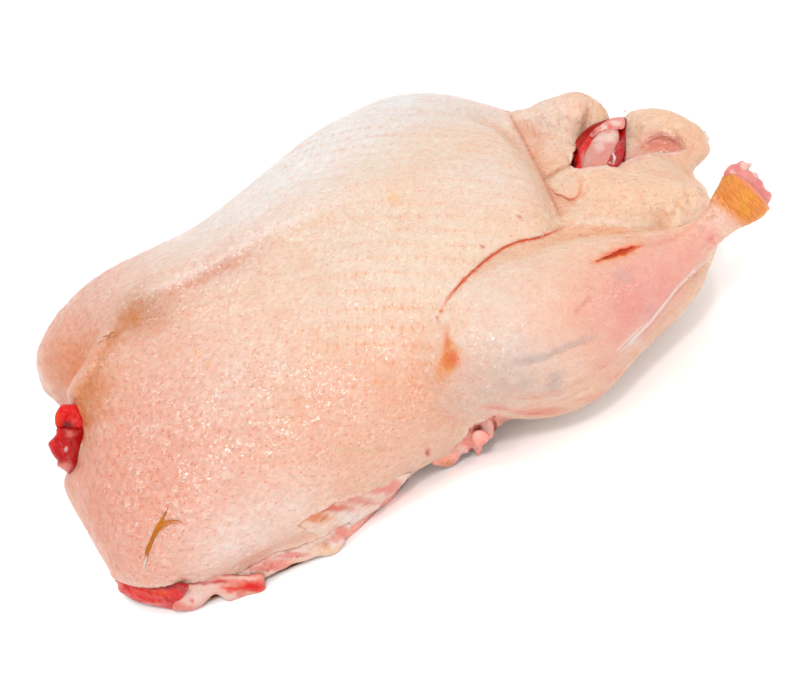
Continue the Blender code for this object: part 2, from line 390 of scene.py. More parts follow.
def lineDistance(px, py, pixels):
    # distance in pixels to a drawn line, the place along it from 0 to 1, and the side: 1 below, -1 above
    pixels = np.array(pixels, float)
    best = np.full(len(px), 1e9)
    along = np.zeros(len(px))
    side = np.ones(len(px))
    for i in range(len(pixels) - 1):
        (x0, y0), (x1, y1) = pixels[i], pixels[i + 1]
        dx, dy = x1 - x0, y1 - y0
        t = np.clip(((px - x0) * dx + (py - y0) * dy) / (dx * dx + dy * dy), 0, 1)
        distance = np.hypot(px - x0 - t * dx, py - y0 - t * dy)
        closer = distance < best
        best[closer] = distance[closer]
        along[closer] = (i + t[closer]) / (len(pixels) - 1)
        turn = dx * (py - y0) - dy * (px - x0)
        side[closer] = np.where(turn[closer] < 0, -1.0, 1.0)
    return best, along, side


def insideBy(px, py, outline):
    # how many pixels inside a closed outline, negative outside
    closed = list(outline) + [outline[0]]
    distance = lineDistance(px, py, closed)[0]
    inside = np.zeros(len(px), bool)
    for (x0, y0), (x1, y1) in zip(closed[:-1], closed[1:]):
        crosses = (y0 > py) != (y1 > py)
        span = y1 - y0 if y1 != y0 else 1e-9
        inside ^= crosses & (px < (x1 - x0) * (py - y0) / span + x0)
    return np.where(inside, distance, -distance)


def streaks(points, along, length, width, seed):
    # noise drawn out along a direction
    along = np.array(along) / np.linalg.norm(along)
    run = points @ along
    return softNoise(points / width + np.outer(run, along) * (1 / length - 1 / width), 1.0, seed)


def refined(mesh, chosen):
    # the edges between chosen points cut in two
    bm = bmesh.new()
    bm.from_mesh(mesh)
    edges = [e for e in bm.edges if chosen[e.verts[0].index] and chosen[e.verts[1].index]]
    bmesh.ops.subdivide_edges(bm, edges=edges, cuts=1, use_grid_fill=True)
    bmesh.ops.triangulate(bm, faces=[f for f in bm.faces if len(f.verts) > 3])
    bm.to_mesh(mesh)
    bm.free()


def setColours(mesh, name, values):
    # one colour a point, kept on the mesh
    rgba = np.ones((len(values), 4), np.float32)
    rgba[:, :values.shape[1]] = values
    layer = mesh.color_attributes.new(name, "FLOAT_COLOR", "POINT")
    layer.data.foreach_set("color", rgba.ravel())


# the duck's skin: one closed surface, sculpted on the CAD solid

skin = {
    # voxels of the rough and the fine skin in metres, and how often each is smoothed
    "roughVoxel": 0.0021,
    "roughRounds": 5,
    "fineVoxel": 0.0016,
    "fineRounds": 3,
    "triangles": 119500,  # after thinning, before the sharp lines are refined
    # how often the far side and the softened places are smoothed, and the round kept at the far hock
    "farRounds": 110,
    "softRounds": 160,
    "hockKept": 0.022,
    # feather pits: metres along a row and between rows, and the turn of the rows in degrees
    "pitAlong": 0.0046,
    "pitRows": 0.0088,
    "rowTurn": 22.0,
    # relief in metres: on plain skin, and what pebbled and brick skin add to it
    "quilt": (0.00010, 0.00012, 0.00004),
    "lumps": (0.00018, 0.00036),
    # painted fold shade: smoothing rounds, depth in metres, and the share of red, green and blue that the
    # painted shade takes off in them
    "folds": ((6, 0.00016, (0.0, 0.08, 0.12)), (40, 0.0010, (0.0, 0.16, 0.26))),
    "mottle": (0.24, 0.22),  # how strong the rosy and the pale clouds are
    # what the light adds to the palette's colours
    "exposure": 1.73,
    "sheen": 0.07,
    "balance": (0.965, 1.0, 1.0),
    # the film of water
    "glint": 0.12,
    "glintRoughness": 0.22,
    "glintRelief": 0.0006,
    # discs of skin over the CAD solid's own openings, so that the outlines below cut them anew:
    # middle of the top, its upward direction, half length, half width and depth
    "plugs": [
        ((0.1280, 0.0270, 0.0772), (0.19, 0.19, 1.0), (0.0235, 0.0245, 0.0100)),
        ((0.1500, 0.0141, 0.0690), (0.35, 0.05, 1.0), (0.0200, 0.0100, 0.0100)),
    ],
}

# colours of the raw skin and flesh as they look in daylight, with painted sheen, light and shade among them
palette = {
    "cream": (246, 218, 194),
    "pale": (245, 228, 220),
    # painted sheen, as pale as the far slope's reflection
    "paintedSheen": (244, 236, 232),
    "rosy": (241, 184, 164),
    "deepRosy": (236, 162, 144),
    "peach": (252, 210, 180),
    "warm": (245, 199, 172),
    "pink": (243, 160, 152),
    "ventPink": (250, 176, 168),
    "shankPink": (236, 140, 140),
    "mauve": (228, 180, 166),
    "grey": (208, 186, 177),
    "blueGrey": (176, 168, 170),
    "orange": (243, 158, 104),
    "deepOrange": (226, 98, 42),
    "creaseOrange": (240, 112, 56),
    "brown": (214, 142, 92),
    "olive": (196, 124, 74),
    "red": (192, 26, 22),
    "freshRed": (238, 58, 40),
    "bloodRed": (204, 12, 12),
    "darkRed": (128, 24, 22),
    # painted shade: the near black of a dark gap
    "gapShade": (70, 18, 14),
    "gristle": (242, 160, 154),
    "fleshPink": (246, 154, 140),
    "fleshPale": (252, 220, 206),
    "white": (252, 242, 236),
    "yellow": (246, 178, 70),
    "scale": (252, 158, 0),
    "scaleLight": (255, 184, 36),
    "featherBrown": (206, 128, 40),
    "stain": (232, 132, 62),
    "scaleShade": (206, 110, 20),
    "rumpPeach": (255, 216, 186),
    "membranePink": (232, 160, 150),
    "bulgeOrange": (238, 156, 110),
    # painted light: pinker and brighter than the flesh, to lift shaded flesh
    "paintedLightPink": (280, 194, 178),
    "spotOrange": (204, 72, 4),
    "greyCream": (238, 216, 202),
    # painted light, brighter than any skin, to lift shaded places
    "paintedLightCream": (284, 252, 226),
    "hairCream": (250, 216, 168),
}


def albedo(name):
    # the colour itself, from how it looks in the light with its wet sheen
    light = [max(v - skin["sheen"], 0.12 * v) / skin["exposure"] for v in fromSrgb(*palette[name])]
    return np.array(light) * skin["balance"]


def paint(tint, name, share, chosen=slice(None)):
    # the chosen points' colours drawn towards a colour of the palette
    tint[chosen] += (albedo(name) - tint[chosen]) * share[:, None]


# small shifts of the outline, as seen in the picture: pixel, shift and radius in pixels
nudges = [
    ((350, 100), (-3, -5), (48, 40)), ((56, 292), (2, 2), (34, 34)), ((38, 360), (-3, 0), (26, 22)),
    ((50, 403), (6, 0), (26, 9)), ((52, 419), (16, 0), (36, 14)), ((54, 440), (16, 0), (36, 17)),
    ((40, 350), (-2, 0), (14, 30)), ((70, 490), (-3, 0), (14, 26)), ((374, 520), (-3, -6), (26, 12)),
    ((60, 464), (9, 0), (28, 13)), ((532, 104), (0, 4), (24, 16)), ((580, 92), (0, -2.5), (16, 16)),
    ((616, 115), (0, 17), (7, 10)), ((118, 578), (-5, 2), (16, 12)), ((702, 130), (6, -3), (18, 16)),
    ((707, 150), (6, 0), (12, 9)), ((706, 173), (-9, 0), (16, 9)), ((712, 196), (-3, 0), (10, 9)),
]

# places where the skin rounds off softly: pixel, radius in metres
softened = [
    ((96, 520), 0.034), ((84, 475), 0.024), ((118, 345), 0.018),
]

# soft areas of colour, among them painted sheen, light and shade: pixel at the middle, radius in metres,
# colour, strength, also on the other side
areas = [
    ((120, 480), 0.078, "rosy", 0.90, True),
    ((90, 480), 0.045, "deepRosy", 0.45, True),
    ((250, 505), 0.044, "rosy", 0.55, True),
    ((150, 525), 0.050, "deepRosy", 0.30, True),
    ((480, 345), 0.022, "rosy", 0.40, True),
    ((150, 420), 0.050, "rosy", 0.35, True),
    ((232, 382), 0.030, "pale", 0.35, True),
    ((160, 545), 0.045, "rosy", 0.45, True),
    ((90, 320), 0.042, "rosy", 0.65, False),
    ((62, 340), 0.030, "deepRosy", 0.35, False),
    ((140, 310), 0.016, "olive", 0.95, False),
    ((74, 366), 0.017, "bulgeOrange", 0.85, False),
    ((84, 396), 0.014, "bulgeOrange", 0.70, False),
    ((80, 425), 0.011, "bulgeOrange", 0.70, False),
    ((90, 395), 0.013, "brown", 0.70, False),
    ((98, 352), 0.014, "orange", 0.50, False),
    ((180, 245), 0.050, "greyCream", 0.60, False),
    # painted shade: a mauve band below the keel's ridge
    ((215, 262), 0.013, "mauve", 0.60, False),
    ((250, 251), 0.012, "mauve", 0.55, False),
    ((425, 240), 0.060, "cream", 0.80, True),
    ((350, 260), 0.040, "greyCream", 0.50, True),
    ((545, 200), 0.016, "warm", 0.60, True),
    ((340, 430), 0.035, "warm", 0.55, True),
    ((340, 432), 0.028, "rosy", 0.50, True),
    ((420, 415), 0.034, "rosy", 0.60, True),
    ((430, 390), 0.020, "orange", 0.30, True),
    ((240, 545), 0.026, "pale", 0.60, True),
    ((295, 505), 0.018, "pale", 0.45, True),
    ((222, 552), 0.014, "white", 0.30, True),
    ((255, 560), 0.010, "fleshPink", 0.45, True),
    ((540, 270), 0.026, "cream", 0.65, True),
    ((520, 310), 0.026, "pale", 0.55, True),
    ((535, 292), 0.034, "greyCream", 0.60, True),
    ((575, 318), 0.024, "rosy", 0.85, True),
    ((610, 322), 0.026, "rosy", 0.75, True),
    ((560, 290), 0.022, "warm", 0.45, True),
    ((500, 374), 0.016, "grey", 0.35, True),
    ((470, 400), 0.018, "grey", 0.40, True),
    ((518, 384), 0.020, "grey", 0.50, True),
    ((560, 405), 0.020, "rosy", 0.30, True),
    ((615, 372), 0.016, "rosy", 0.50, True),
    ((665, 272), 0.027, "shankPink", 1.0, True),
    ((692, 242), 0.020, "shankPink", 0.95, True),
    ((640, 300), 0.022, "shankPink", 0.75, True),
    ((620, 205), 0.055, "peach", 0.85, False),
    ((560, 235), 0.018, "peach", 0.60, False),
    ((545, 132), 0.030, "rumpPeach", 0.70, False),
    ((665, 125), 0.034, "peach", 0.85, False),
    ((692, 140), 0.014, "orange", 0.25, False),
    # painted sheen: the far slope's pale reflection, painted into its colour
    ((200, 225), 0.030, "paintedSheen", 0.40, False),
    ((250, 200), 0.034, "paintedSheen", 0.80, False),
    ((300, 160), 0.034, "paintedSheen", 0.90, False),
    ((335, 130), 0.036, "paintedSheen", 0.95, False),
    ((400, 98), 0.040, "paintedSheen", 1.0, False),
    # painted sheen on the far hump and on the far lump
    ((470, 105), 0.022, "pale", 0.6, False),
    ((545, 122), 0.020, "pale", 0.7, False),
    ((575, 112), 0.016, "peach", 0.5, False),
    # painted light over the shaded rounding at the rump's far edge
    ((700, 208), 0.022, "rumpPeach", 0.95, False),
    ((690, 217), 0.014, "paintedLightCream", 0.80, False),
    # painted light over the shade under the thigh
    ((502, 420), 0.008, "rosy", 0.90, True),
    ((640, 195), 0.040, "rumpPeach", 0.40, False),
    ((660, 122), 0.030, "rumpPeach", 0.35, False),
    ((482, 178), 0.026, "pale", 0.55, False),
]

# stains and marks as they show in the picture, one of them painted light: pixel, half size in pixels, turn in
# degrees, colour, strength
marks = [
    ((447, 359), (8, 18), 8, "orange", 0.75),
    ((451, 360), (9, 13), 12, "stain", 0.95),
    ((453, 358), (4, 5), 20, "deepOrange", 0.40),
    ((440, 374), (4, 7), -30, "stain", 0.5),
    ((460, 352), (2, 3), 0, "yellow", 0.5),
    ((452, 345), (1.8, 2), 0, "yellow", 0.5),
    ((447, 341), (4, 11), 0, "stain", 0.75),
    ((439, 372), (4, 8), -20, "orange", 0.4),
    ((448, 371), (3.5, 3.5), 0, "yellow", 0.45),
    ((427.7, 452.5), (2.2, 4.0), 15, "spotOrange", 1.0),
    ((441, 311), (2.2, 1.8), 0, "stain", 0.9),
    ((437, 318), (1.8, 1.8), 0, "stain", 0.9),
    ((440, 322), (1.2, 1.2), 0, "stain", 0.7),
    ((482, 247), (3.2, 1.6), 30, "spotOrange", 0.8),
    ((463, 246), (1.4, 1.2), 0, "deepOrange", 0.4),
    ((520, 217), (3.6, 2.0), 30, "spotOrange", 0.65),
    ((580, 235), (1.2, 1.2), 0, "darkRed", 0.7),
    ((588, 235), (1.2, 1.2), 0, "darkRed", 0.6),
    ((197, 352), (2.2, 2.0), 0, "scaleLight", 0.8),
    ((208, 364), (2.0, 2.0), 0, "scaleLight", 0.7),
    ((193, 364), (1.3, 1.6), 0, "yellow", 0.6),
    ((394, 199), (8, 5), 15, "yellow", 0.35),
    ((396, 196), (3, 2), 15, "yellow", 0.35),
    ((311, 387), (1.8, 1.4), 0, "deepOrange", 0.5),
    ((556, 380), (9, 12), 10, "blueGrey", 0.42),
    ((552, 391), (11, 6), 0, "blueGrey", 0.28),
    ((527, 386), (9, 6), 0, "blueGrey", 0.20),
    ((504, 385), (8, 6), 0, "blueGrey", 0.16),
    ((622, 276), (10, 8), 30, "blueGrey", 0.26),
    ((650, 310), (9, 6), 40, "blueGrey", 0.15),
    ((600, 365), (9, 5), 0, "deepRosy", 0.40),
    ((614, 377), (8, 4), -30, "freshRed", 0.22),
    ((590, 398), (16, 4), -20, "freshRed", 0.22),
    ((540, 411), (26, 4), 0, "freshRed", 0.25),
    ((500, 406), (12, 3), 0, "freshRed", 0.20),
    ((62, 432), (8, 30), 0, "red", 1.0),
    ((53.6, 392.6), (2.0, 2.2), 0, "red", 0.8),
    ((50, 388), (3, 14), -36, "fleshPale", 0.5),
    ((72, 424), (4, 9), -10, "yellow", 0.35),
    ((663, 145), (22, 9), 12, "ventPink", 0.85),
    ((640, 155), (16, 4), -25, "ventPink", 0.80),
    ((655, 143), (6, 6), 30, "freshRed", 0.15),
    ((565, 181), (12, 13), 0, "cream", 0.45),
    # painted light over the shade under the thigh
    ((498, 420), (10, 6), 0, "fleshPink", 0.8),
    ((604, 113), (6, 10), -30, "yellow", 0.30),
    ((720, 222), (6, 10), 30, "fleshPale", 0.5),
    ((728, 232), (6, 7), 30, "cream", 0.7),
    ((712, 240), (3, 7), -25, "pink", 0.5),
    ((695, 290), (14, 10), 45, "warm", 0.55),
    ((640, 345), (10, 6), 35, "fleshPale", 0.5),
    ((78, 420), (9, 19), 0, "bulgeOrange", 0.9),
    ((80, 440), (6, 16), 0, "warm", 0.8),
    ((136, 318), (7, 9), 30, "brown", 0.75),
    ((617, 254), (27, 6), -20, "orange", 0.55),
    ((621, 251), (17, 3.2), -20, "freshRed", 0.60),
    ((330, 220), (3, 1.4), 25, "mauve", 0.7),
    ((325, 223), (2, 1.2), 25, "mauve", 0.6),
]

# lines as they show in the picture, on the side the camera sees. Lower is the side right of or below
# the line: it steps back by drop (metres) away from the camera and comes back over reach (pixels).
# groove is cut along the line (negative: a ridge), width in pixels, and ease rounds the upper side
# over it, by its height in metres and its width in pixels. A line says only what isn't plain.
plainLine = {
    "groove": 0.0, "width": 2.0, "drop": 0.0, "reach": 16, "edge": 3.0, "ease": (0.0, 4),
    "taper": (0.3, 0.3), "lower": 1,
}
lines = {
    "crease": {
        "pixels": [(434, 321), (441, 310), (447, 300), (455, 290), (465, 279), (475, 270), (485, 261),
            (496, 253), (508, 246), (522, 241), (534, 239), (546, 235), (556, 231), (566, 226), (576, 222)],
        "groove": 0.001, "width": 1.0, "drop": 0.0013, "reach": 30, "edge": 2.4, "ease": (0.0016, 12),
        "colour": "creaseOrange", "strength": 1.0, "spread": 1.7, "taper": (0.25, 0.22),
    },
    # the orange along the breast's end is painted shade in the step below it
    "breastEnd": {
        "pixels": [(498, 100), (505, 110), (513, 123), (521, 137), (529, 152), (537, 168), (545, 184),
            (552, 200), (558, 214), (563, 226)],
        "groove": 0.0004, "width": 1.6, "drop": 0.0056, "reach": 34, "edge": 1.6, "ease": (0.0034, 17),
        "colour": "creaseOrange", "strength": 0.35, "spread": 2.4, "taper": (0.25, 0.16), "lower": -1,
    },
    "lumpFoot": {
        "pixels": [(541, 180), (549, 177), (557, 172), (564, 168), (571, 166)],
        "groove": 0.002, "drop": 0.003, "reach": 20, "edge": 1.6, "ease": (0.001, 8), "colour": "brown",
        "strength": 0.7, "spread": 1.8, "taper": (0.15, 0.05), "lower": -1,
    },
    "lumpEdge": {
        "pixels": [(590, 97), (588, 106), (585, 118), (581, 132), (576, 144), (571, 156)],
        "groove": 0.0008, "drop": 0.0022, "reach": 12, "edge": 2.0, "ease": (0.0012, 8), "colour": "orange",
        "strength": 0.3, "spread": 2.0, "taper": (0.25, 0.2), "lower": -1,
    },
    "tailEdge": {
        "pixels": [(623, 106), (622.5, 118), (622, 132), (622.5, 144), (621, 158)],
        "drop": 0.005, "reach": 14, "edge": 1.3, "ease": (0.0012, 5), "colour": "fleshPale",
        "strength": 0.7, "spread": 1.8, "taper": (0.02, 0.05),
    },
    "bellyEdge": {
        "pixels": [(584, 168), (600, 167), (612, 166), (622, 163), (634, 158), (646, 154.5), (658, 153),
            (670, 153), (682, 151), (690, 148)],
        "groove": -0.001, "width": 2.4, "drop": 0.0036, "reach": 20, "edge": 1.6, "ease": (0.001, 7),
        "colour": "fleshPale", "strength": 0.6, "spread": 1.6, "taper": (0.1, 0.12), "lower": -1,
    },
    "ventEdge": {
        "pixels": [(624, 160), (633, 152), (641, 145), (649, 139), (656, 136), (663, 135), (671, 137),
            (678, 142), (686, 148)],
        "drop": 0.0016, "edge": 4.0, "ease": (0.0008, 8), "colour": "ventPink", "strength": 0.55,
        "spread": 2.4, "taper": (0.15, 0.2),
    },
    "shankUpper": {
        "pixels": [(641, 248), (655, 245), (668, 241), (680, 235), (690, 228), (699, 219), (707, 209),
            (713, 200)],
        "groove": 0.0004, "width": 1.6, "drop": 0.0016, "reach": 26, "edge": 1.6, "ease": (0.0024, 12),
        "colour": "creaseOrange", "strength": 0.4, "spread": 1.8, "taper": (0.3, 0.02), "lower": -1,
    },
    "membrane": {
        "pixels": [(618, 362), (624, 353), (631, 343), (640, 332), (650, 322), (659, 311), (668, 299),
            (677, 288), (688, 277), (700, 266), (710, 257)],
        "groove": -0.0009, "width": 1.4, "drop": 0.0034, "reach": 24, "edge": 1.6, "colour": "white",
        "strength": 0.65, "spread": 1.0, "taper": (0.25, 0.1),
    },
    "membraneShade": {
        "pixels": [(668, 303), (676, 294), (684, 285), (692, 277), (702, 268)],
        "groove": 0.0016, "colour": "brown", "strength": 0.45, "spread": 1.8, "taper": (0.4, 0.4),
    },
    "membraneSecond": {
        "pixels": [(612, 356), (620, 348), (628, 340), (637, 331), (646, 320)],
        "groove": -0.0005, "width": 1.3, "colour": "white", "strength": 0.5, "spread": 1.0,
    },
    # the pale band along the keel's ridge is a painted highlight
    "keel": {
        "pixels": [(132, 300), (150, 291), (170, 283), (190, 274), (220, 257), (250, 240), (290, 222),
            (330, 205), (365, 194), (400, 185)],
        "groove": -0.0018, "width": 6.0, "colour": "pale", "strength": 0.5, "spread": 4.0,
        "taper": (0.1, 0.4),
    },
    "keelShade": {
        "pixels": [(160, 300), (180, 290), (200, 280), (225, 267), (250, 255), (272, 244)],
        "groove": 0.0011, "width": 8.0, "colour": "mauve", "strength": 0.5, "spread": 6.0,
        "taper": (0.3, 0.4),
    },
    "notch": {
        "pixels": [(146, 300), (136, 307), (127, 318), (118, 332), (108, 348), (100, 362), (92, 380),
            (84, 396), (78, 412)],
        "groove": 0.0017, "width": 7.0, "colour": "brown", "strength": 0.5, "spread": 6.0,
        "taper": (0.2, 0.1),
    },
    # painted shade: grey-blue along the fold under the thigh
    "thighFold": {
        "pixels": [(497, 363), (515, 362), (532, 360), (548, 355), (562, 349), (578, 342), (596, 337),
            (612, 333)],
        "groove": 0.0015, "width": 4.0, "drop": 0.0008, "colour": "blueGrey", "strength": 0.42,
        "spread": 3.2,
    },
    "thighFoldLow": {
        "pixels": [(500, 396), (520, 398), (540, 396), (560, 391), (578, 383), (592, 373), (604, 362)],
        "groove": 0.001, "width": 4.0, "colour": "deepRosy", "strength": 0.35, "spread": 3.0,
    },
    "skirtFold": {
        "pixels": [(468, 410), (486, 407), (505, 409), (525, 413), (548, 413), (570, 408)],
        "groove": 0.0012, "width": 2.4, "colour": "freshRed", "strength": 0.28, "spread": 2.0,
    },
    "kneeFoldUpper": {
        "pixels": [(566, 316), (572, 304), (580, 295), (590, 289), (601, 286)],
        "groove": -0.0006, "width": 2.8, "colour": "rosy", "strength": 0.45, "spread": 2.4,
    },
    "kneeFoldLower": {
        "pixels": [(572, 320), (579, 309), (588, 300), (599, 294)],
        "groove": 0.0007, "width": 2.4, "colour": "deepRosy", "strength": 0.6, "spread": 2.0,
    },
    "bellyFold": {
        "pixels": [(566, 228), (578, 222), (596, 221), (615, 222), (632, 224), (648, 225), (662, 231),
            (676, 240)],
        "groove": -0.001, "width": 5.0, "drop": 0.0006, "reach": 24, "edge": 5.0, "colour": "pale",
        "strength": 0.25, "spread": 4.0, "taper": (0.2, 0.3),
    },
    "bellyFoldLow": {
        "pixels": [(578, 236), (596, 232), (614, 231), (632, 236), (648, 240), (664, 243)],
        "groove": 0.0013, "width": 4.0, "colour": "orange", "strength": 0.25, "spread": 3.4,
    },
    "rumpFoldOuter": {
        "pixels": [(690, 168), (698, 182), (703, 198), (702, 212), (696, 226)],
        "groove": 0.0012, "width": 3.0, "colour": "warm", "strength": 0.55, "spread": 3.0,
    },
    "rumpFoldInner": {
        "pixels": [(674, 172), (684, 186), (689, 202), (686, 218), (678, 232)],
        "groove": 0.0009, "width": 3.0, "colour": "warm", "strength": 0.5, "spread": 3.0,
    },
    "tagEdge": {
        "pixels": [(550, 176), (551, 186), (556, 193), (563, 196), (570, 199), (577, 196), (580, 187),
            (577, 176), (570, 168)],
        "drop": 0.0014, "reach": 8, "edge": 1.3, "ease": (0.001, 7), "colour": "creaseOrange",
        "strength": 0.6, "spread": 1.2, "taper": (0.35, 0.55),
    },
    "rumpFill": {
        "pixels": [(664, 230), (676, 227), (688, 220), (697, 210), (702, 198), (700, 186), (695, 176)],
        "groove": -0.007, "width": 13.0, "colour": "peach", "strength": 0.35, "spread": 12.0,
        "taper": (0.25, 0.2),
    },
    "shankLine": {
        "pixels": [(704, 243), (709, 240), (714, 236), (718, 231)],
        "groove": 0.0012, "colour": "pink", "strength": 0.6, "spread": 2.2,
    },
}


# how the skin's texture changes over the body: pixel at the middle, radius in metres, strength.
# pebbled is the raised pink-netted skin in front, brick the tight rows before the thigh, smooth is bare skin
zones = {
    "pebbled": [((130, 470), 0.085, 1.0), ((90, 360), 0.05, 0.7), ((250, 430), 0.055, 0.8),
        ((200, 330), 0.045, 0.35), ((620, 205), 0.045, 0.45), ((665, 125), 0.03, 0.35)],
    "brick": [((385, 340), 0.034, 1.0), ((372, 280), 0.03, 0.9), ((430, 240), 0.032, 0.7),
        ((490, 190), 0.034, 0.45)],
    "smooth": [((670, 270), 0.045, 1.0), ((560, 350), 0.055, 0.75), ((262, 545), 0.03, 0.8),
        ((545, 130), 0.028, 0.3), ((390, 110), 0.07, 0.5), ((560, 400), 0.04, 0.7), ((640, 330), 0.04, 0.8)],
}

# cuts that show their inside: the outline in the picture, how deep, and how soft the edge is in pixels
cuts = {
    "opening": {
        "outline": [(570, 166), (573, 153), (579, 143), (586, 134), (592, 129), (600, 126), (609, 124),
            (616, 122), (622, 121), (621, 133), (622, 142), (621, 153), (619, 160), (616, 163), (609, 165),
            (599, 166), (588, 168), (579, 169), (573, 168)],
        "depth": 0.02, "edge": 2.0, "colour": "pink",
    },
    "slit": {
        "outline": [(591, 263), (600, 258), (610, 253), (620, 249), (631, 246), (642, 246), (634, 251),
            (624, 256), (612, 259), (601, 262)],
        "depth": 0.0034, "edge": 3.0, "colour": "creaseOrange", "blend": 2.4,
    },
    "flank": {
        "outline": [(408, 477), (397, 480), (387, 485), (374, 489), (364, 495), (353, 497), (341, 502),
            (335, 502), (326, 508), (313, 514), (304, 519), (297, 526), (306, 530), (320, 532), (331, 530),
            (325, 536), (314, 540), (300, 546), (288, 549), (277, 551), (262, 560), (248, 567), (236, 575),
            (222, 582), (240, 600), (262, 600), (300, 590), (350, 560), (390, 520), (420, 480)],
        # the cut's inside is painted brighter than flesh, painted light over its shade
        "depth": 0.0055, "edge": 1.8, "colour": "paintedLightPink",
    },
    "wing": {
        "outline": [(112, 582), (124, 584), (134, 587), (157, 587), (180, 584), (200, 582), (216, 581),
            (230, 583), (243, 584), (256, 581), (268, 577), (272, 620), (112, 620)],
        "depth": 0.0055, "edge": 1.8, "colour": "darkRed",
    },
    "scrap": {
        "outline": [(495, 415), (484, 421), (477, 424), (470, 427), (465, 437), (456, 446), (448, 456),
            (439, 463), (431, 467), (440, 480), (470, 470), (500, 440)],
        "depth": 0.006, "edge": 1.8, "colour": "fleshPink",
    },
}

# patches of wrinkles and bumps: pixel at the middle, radius, direction in the picture, length and
# width of one wrinkle, its height, also on the other side
wrinkles = [
    ((560, 135), 0.022, (0.35, 1.0), 0.016, 0.0035, 0.0005, False),
    ((600, 108), 0.008, (1.0, 0.2), 0.002, 0.0018, 0.0008, False),
    ((620, 200), 0.036, (1.0, 0.1), 0.0042, 0.0021, 0.00034, True),
    ((690, 195), 0.016, (0.2, 1.0), 0.012, 0.0028, 0.00032, True),
    ((310, 540), 0.012, (1.0, -0.5), 0.02, 0.0018, 0.0004, True),
    ((665, 120), 0.022, (1.0, -0.1), 0.0045, 0.0026, 0.00036, False),
    ((655, 148), 0.014, (1.0, 0.1), 0.006, 0.0022, 0.0006, False),
    ((610, 238), 0.018, (1.0, 0.35), 0.008, 0.0032, 0.0006, True),
    ((575, 385), 0.03, (1.0, -0.6), 0.014, 0.0034, 0.0006, True),
    ((655, 335), 0.022, (1.0, -0.9), 0.016, 0.002, 0.00055, True),
    ((475, 400), 0.026, (1.0, -0.25), 0.014, 0.0034, 0.0004, True),
    ((540, 410), 0.026, (1.0, -0.1), 0.012, 0.0024, 0.0006, True),
    ((95, 385), 0.018, (0.35, 1.0), 0.009, 0.0016, 0.0004, True),
    ((82, 440), 0.014, (0.1, 1.0), 0.01, 0.0014, 0.00022, True),
    ((250, 540), 0.03, (1.0, -0.45), 0.022, 0.0024, 0.00034, True),
    ((440, 390), 0.018, (0.15, 1.0), 0.014, 0.0016, 0.0003, True),
    ((250, 225), 0.022, (0.4, 1.0), 0.008, 0.0015, 0.00026, True),
    ((150, 280), 0.018, (0.4, 1.0), 0.008, 0.0015, 0.00022, True),
    ((715, 235), 0.01, (0.6, -1.0), 0.012, 0.0018, 0.0003, True),
    ((735, 195), 0.01, (1.0, 0.7), 0.012, 0.0009, 0.0003, True),
]

boneCut = 0.0326  # where the skin ends, from the shank's start
# the hocks: where the shank starts, where the cut end is, and how far round the bone they reach
hocks = {
    "Right": {
        "root": (0.146, -0.07, 0.068), "end": (0.18, -0.0655, 0.0835), "radius": 0.026, "flare": 0.13,
    },
    "Left": {"root": (0.142, 0.063, 0.0355), "end": (0.169, 0.058, 0.03), "radius": 0.016, "flare": 0.08},
}


def pluggedCad():
    # the CAD solid's mesh, merged, with a plug of skin in its body opening
    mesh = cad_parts["duck"].data.copy()
    bm = bmesh.new()
    bm.from_mesh(mesh)
    bmesh.ops.remove_doubles(bm, verts=bm.verts, dist=1e-6)
    for top, upward, radii in skin["plugs"]:
        made = bmesh.ops.create_icosphere(bm, subdivisions=4, radius=1.0)
        up = Vector(upward).normalized()
        bmesh.ops.scale(bm, vec=Vector(radii), verts=made["verts"])
        turn = Vector((0, 0, 1)).rotation_difference(up).to_matrix()
        bmesh.ops.rotate(bm, matrix=turn, verts=made["verts"])
        bmesh.ops.translate(bm, vec=Vector(top) - up * radii[2], verts=made["verts"])
    bm.to_mesh(mesh)
    bm.free()
    return mesh


def roundFarSide(mesh):
    # the corners of the side turned away from the camera, rounded while the mesh is even
    points, normals, eased = pointsOf(mesh), normalsOf(mesh), easedPoints(mesh, skin["farRounds"])
    hidden = 1 - seenFromCamera(points, normals, treeOf(mesh))
    share = smoothStep(0.7, 1.0, easedValues(mesh, hidden[:, None], 10)[:, 0])
    share *= 1 - hill(awayFrom(points, hocks["Left"]["end"]), skin["hockKept"])
    share *= 1 - smoothStep(-0.6, -0.9, normals[:, 2]) * smoothStep(0.004, 0.001, points[:, 2])
    points += (eased - points) * share[:, None]
    movePoints(mesh, points)


def evenSkin():
    # fine where it is looked at, coarser below
    rough = remeshed(pluggedCad(), skin["roughVoxel"], skin["roughRounds"])
    roundFarSide(rough)
    mesh = remeshed(rough, skin["fineVoxel"], skin["fineRounds"])
    points, normals = pointsOf(mesh), normalsOf(mesh)
    hidden = facing(points, normals) < -0.1
    under = smoothStep(0.012, 0.004, points[:, 2]) * smoothStep(-0.3, -0.8, normals[:, 2])
    return thinned(mesh, np.clip(0.25 * hidden + 0.75 * under, 0, 1), skin["triangles"])


def nudge(mesh):
    # the outline brought to where it shows in the picture
    right, up, back = (np.array(axis) for axis in cameraAxes())
    points = pointsOf(mesh)
    px, py, depth = pixelsOf(points)
    scale = depth / focal
    dx, dy = np.zeros(len(points)), np.zeros(len(points))
    for (x, y), (acrossBy, downBy), (wide, tall) in nudges:
        share = np.exp(-((px - x) / wide) ** 2 - ((py - y) / tall) ** 2)
        dx += acrossBy * share
        dy += downBy * share
    points += right * (dx * scale)[:, None] - up * (dy * scale)[:, None]
    movePoints(mesh, points)


